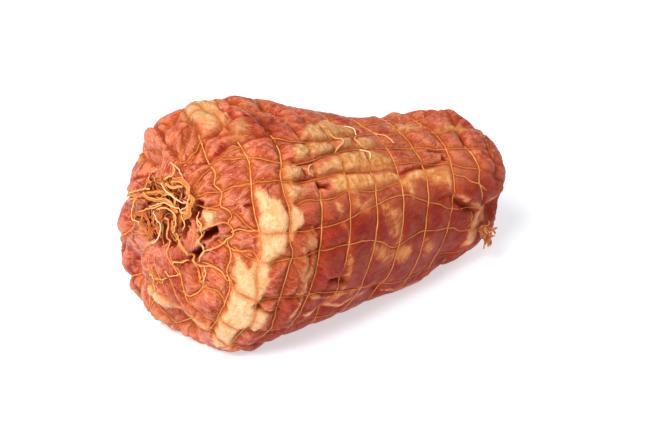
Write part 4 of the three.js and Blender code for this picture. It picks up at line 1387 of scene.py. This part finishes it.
    # Painted shade in the furrow right along each string.
    furrow_shade = f.times(f.span(string, 0.72, 1.0, 0.0, 0.45), f.span(share, 0.0, 1.0, 1.0, 0.3))
    base = f.mix(furrow_shade, base, "963C1C")
    sunk_line = f.times(f.span(string, 0.86, 0.98, 0.0, 0.6), share)
    base = f.mix(sunk_line, base, "DC8640")
    base = f.mix(1.0, base, "FFF0F4", "MULTIPLY")
    # Painted shade, dark red to near black, in the seams, pits, muscle edges and under the gather.
    base = f.layers(base, ((hollow_shade, 0.1, 0.6, 0.5, "9A3416"), (hollow_shade, 0.5, 0.95, 0.8, "64190B")))

    wet = f.noise(f.place, 120.0, 4.0, 0.6)
    rough = f.plus(f.span(wet, 0.38, 0.66, 0.13, 0.36), f.times(firm, 0.22))
    strands = f.minus(f.times(fibre, 0.6), f.times(crease, 0.22))
    strands = f.plus(strands, f.times(f.minus(gleam, hair), 0.12))
    height = f.times(strands, f.minus(1.0, share))
    height = f.plus(height, f.times(fine, 0.45))
    height = f.plus(height, f.times(crumb, f.span(share, 0.0, 1.0, 0.4, 1.2)))
    ridges = f.times(f.span(knobbly, 0.0, 0.15), f.times(share, lumpy))
    height = f.plus(height, f.times(ridges, 0.6))
    f.surface({
        "Base Color": base, "Roughness": f.plus(rough, f.times(hollow_shade, 0.5)),
        "Normal": f.bump(height, 0.0013, f.span(firm, 0.0, 1.0, 0.95, 0.6)),
        "Subsurface Weight": 0.05, "Subsurface Radius": (1.0, 0.35, 0.2), "Subsurface Scale": 0.004,
        "Specular IOR Level": 0.14})
    return f.material


def smoked_yarn(name, dark, middle, light):
    """Twisted cotton: the sine of twice the turn round the string plus the length along it makes
    stripes that wind round it. Fuzz and stains from the smoke lie over them."""
    f = Finish(name)
    yarn, tone = f.vector("yarn"), f.number("tone")
    split = f.add("ShaderNodeSeparateXYZ")
    f.join(yarn, split.inputs[0])
    turn = f.work("ARCTAN2", split.outputs["Y"], split.outputs["X"])
    twist = f.work("SINE", f.plus(f.times(turn, 2.0), f.times(split.outputs["Z"], 3.2)))
    stain = f.noise(f.place, 60.0, 5.0, 0.65)
    fuzz = f.noise(f.place, 1500.0, 3.0, 0.6)
    base = f.mix(f.span(tone, -0.3, 0.0), "8A3414", dark)
    base = f.layers(base, (
        (tone, 0.0, 0.6, 1.0, middle),
        (tone, 0.5, 1.0, 1.0, light),
        (tone, 1.0, 1.4, 1.0, "FBE3B8"),
        (stain, 0.45, 0.75, 0.55, dark),
        (twist, -0.2, -1.0, 0.18, dark),
    ))
    height = f.plus(f.times(twist, 0.5), fuzz)
    f.surface({"Base Color": base, "Normal": f.bump(height, 0.00012, 0.8), "Roughness": 0.62,
               "Specular IOR Level": 0.3})
    return f.material


# ---- Pieces ------------------------------------------------------------------------------------


def dress(piece, node, material):
    """Gives a piece its finish, rides it on the body and hides the solid that it replaces."""
    piece.data.materials.append(material)
    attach(piece, "root")
    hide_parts(node)


NET_YARN = smoked_yarn("net_yarn", "B85824", "D8843C", "F4B268")
TAIL_YARN = smoked_yarn("tail_yarn", "A05226", "CC7E44", "E6A662")

dress(make_meat(), "meat", smoked_meat())
dress(make_strings("net_strings", net_strings(), 8), "net", NET_YARN)
dress(make_strings("gather_strings", gather_strings(), 6), "net_gather_front", NET_YARN)
dress(make_strings("tail_strings", tail_strings(), 7), "net_tail_back", TAIL_YARN)

# ---- Floor, light and camera -------------------------------------------------------------------


def make_floor():
    """A square table top, far wider than the roast, in a pale finish that glows faintly."""
    corners = np.array([[-3000.0, -3000, 0], [3000, -3000, 0], [3000, 3000, 0], [-3000, 3000, 0]])
    floor = make_mesh("table_top", corners, [[0, 1, 2, 3]])
    f = Finish("white_table")
    f.surface({"Base Color": f.mix(f.noise(f.place, 4.0, 2.0), "D4D7E0", "D6D9E2"), "Roughness": 0.7,
               "Specular IOR Level": 0.2, "Emission Color": (0.96, 0.97, 1.0, 1.0),
               "Emission Strength": 0.56})
    floor.data.materials.append(f.material)


def soft_light(name, direction, distance, size, power):
    """A square lamp that looks at the roast from a direction."""
    data = bpy.data.lights.new(name, "AREA")
    data.shape = "SQUARE"
    data.size = size
    data.energy = power
    lamp = bpy.data.objects.new(name, data)
    bpy.context.scene.collection.objects.link(lamp)
    way = Vector(direction).normalized()
    lamp.location = Vector((0, 0, 0.05)) + way * distance
    lamp.rotation_mode = "QUATERNION"
    lamp.rotation_quaternion = way.to_track_quat("Z", "Y")


LENS, SENSOR_WIDTH = 115.6, 36.0
VIEW_AZIMUTH, VIEW_ELEVATION, VIEW_DISTANCE = -32.0, 31.0, 1.4
VIEW_MIDDLE = (0.0019, -0.0017, 0.0532)


def make_camera():
    """Stands back from the roast's middle, at a turn round it and a height over the table."""
    data = bpy.data.cameras.new("camera")
    data.lens = LENS
    data.sensor_width = SENSOR_WIDTH
    camera = bpy.data.objects.new("camera", data)
    bpy.context.scene.collection.objects.link(camera)
    azimuth, elevation = math.radians(VIEW_AZIMUTH), math.radians(VIEW_ELEVATION)
    back = Vector((math.sin(azimuth) * math.cos(elevation), -math.cos(azimuth) * math.cos(elevation),
                   math.sin(elevation)))
    camera.location = Vector(VIEW_MIDDLE) + back * VIEW_DISTANCE
    camera.rotation_mode = "QUATERNION"
    camera.rotation_quaternion = (-back).to_track_quat("-Z", "Y")
    data.clip_start, data.clip_end = 0.05, 20.0
    bpy.context.scene.camera = camera


def make_world(strength):
    """An even, faintly warm light from all round."""
    world = bpy.data.worlds.new("white_room")
    world.use_nodes = True
    background = world.node_tree.nodes["Background"]
    background.inputs["Color"].default_value = (1.0, 0.97, 0.92, 1.0)
    background.inputs["Strength"].default_value = strength
    bpy.context.scene.world = world


make_floor()
make_world(0.29)
soft_light("key_light", (-0.84, -0.36, 1.14), 1.5, 0.8, 31.0)
soft_light("fill_light", (1.0, 0.1, 0.55), 5.0, 2.6, 60.0)
make_camera()
bpy.context.scene.view_settings.view_transform = "Standard"
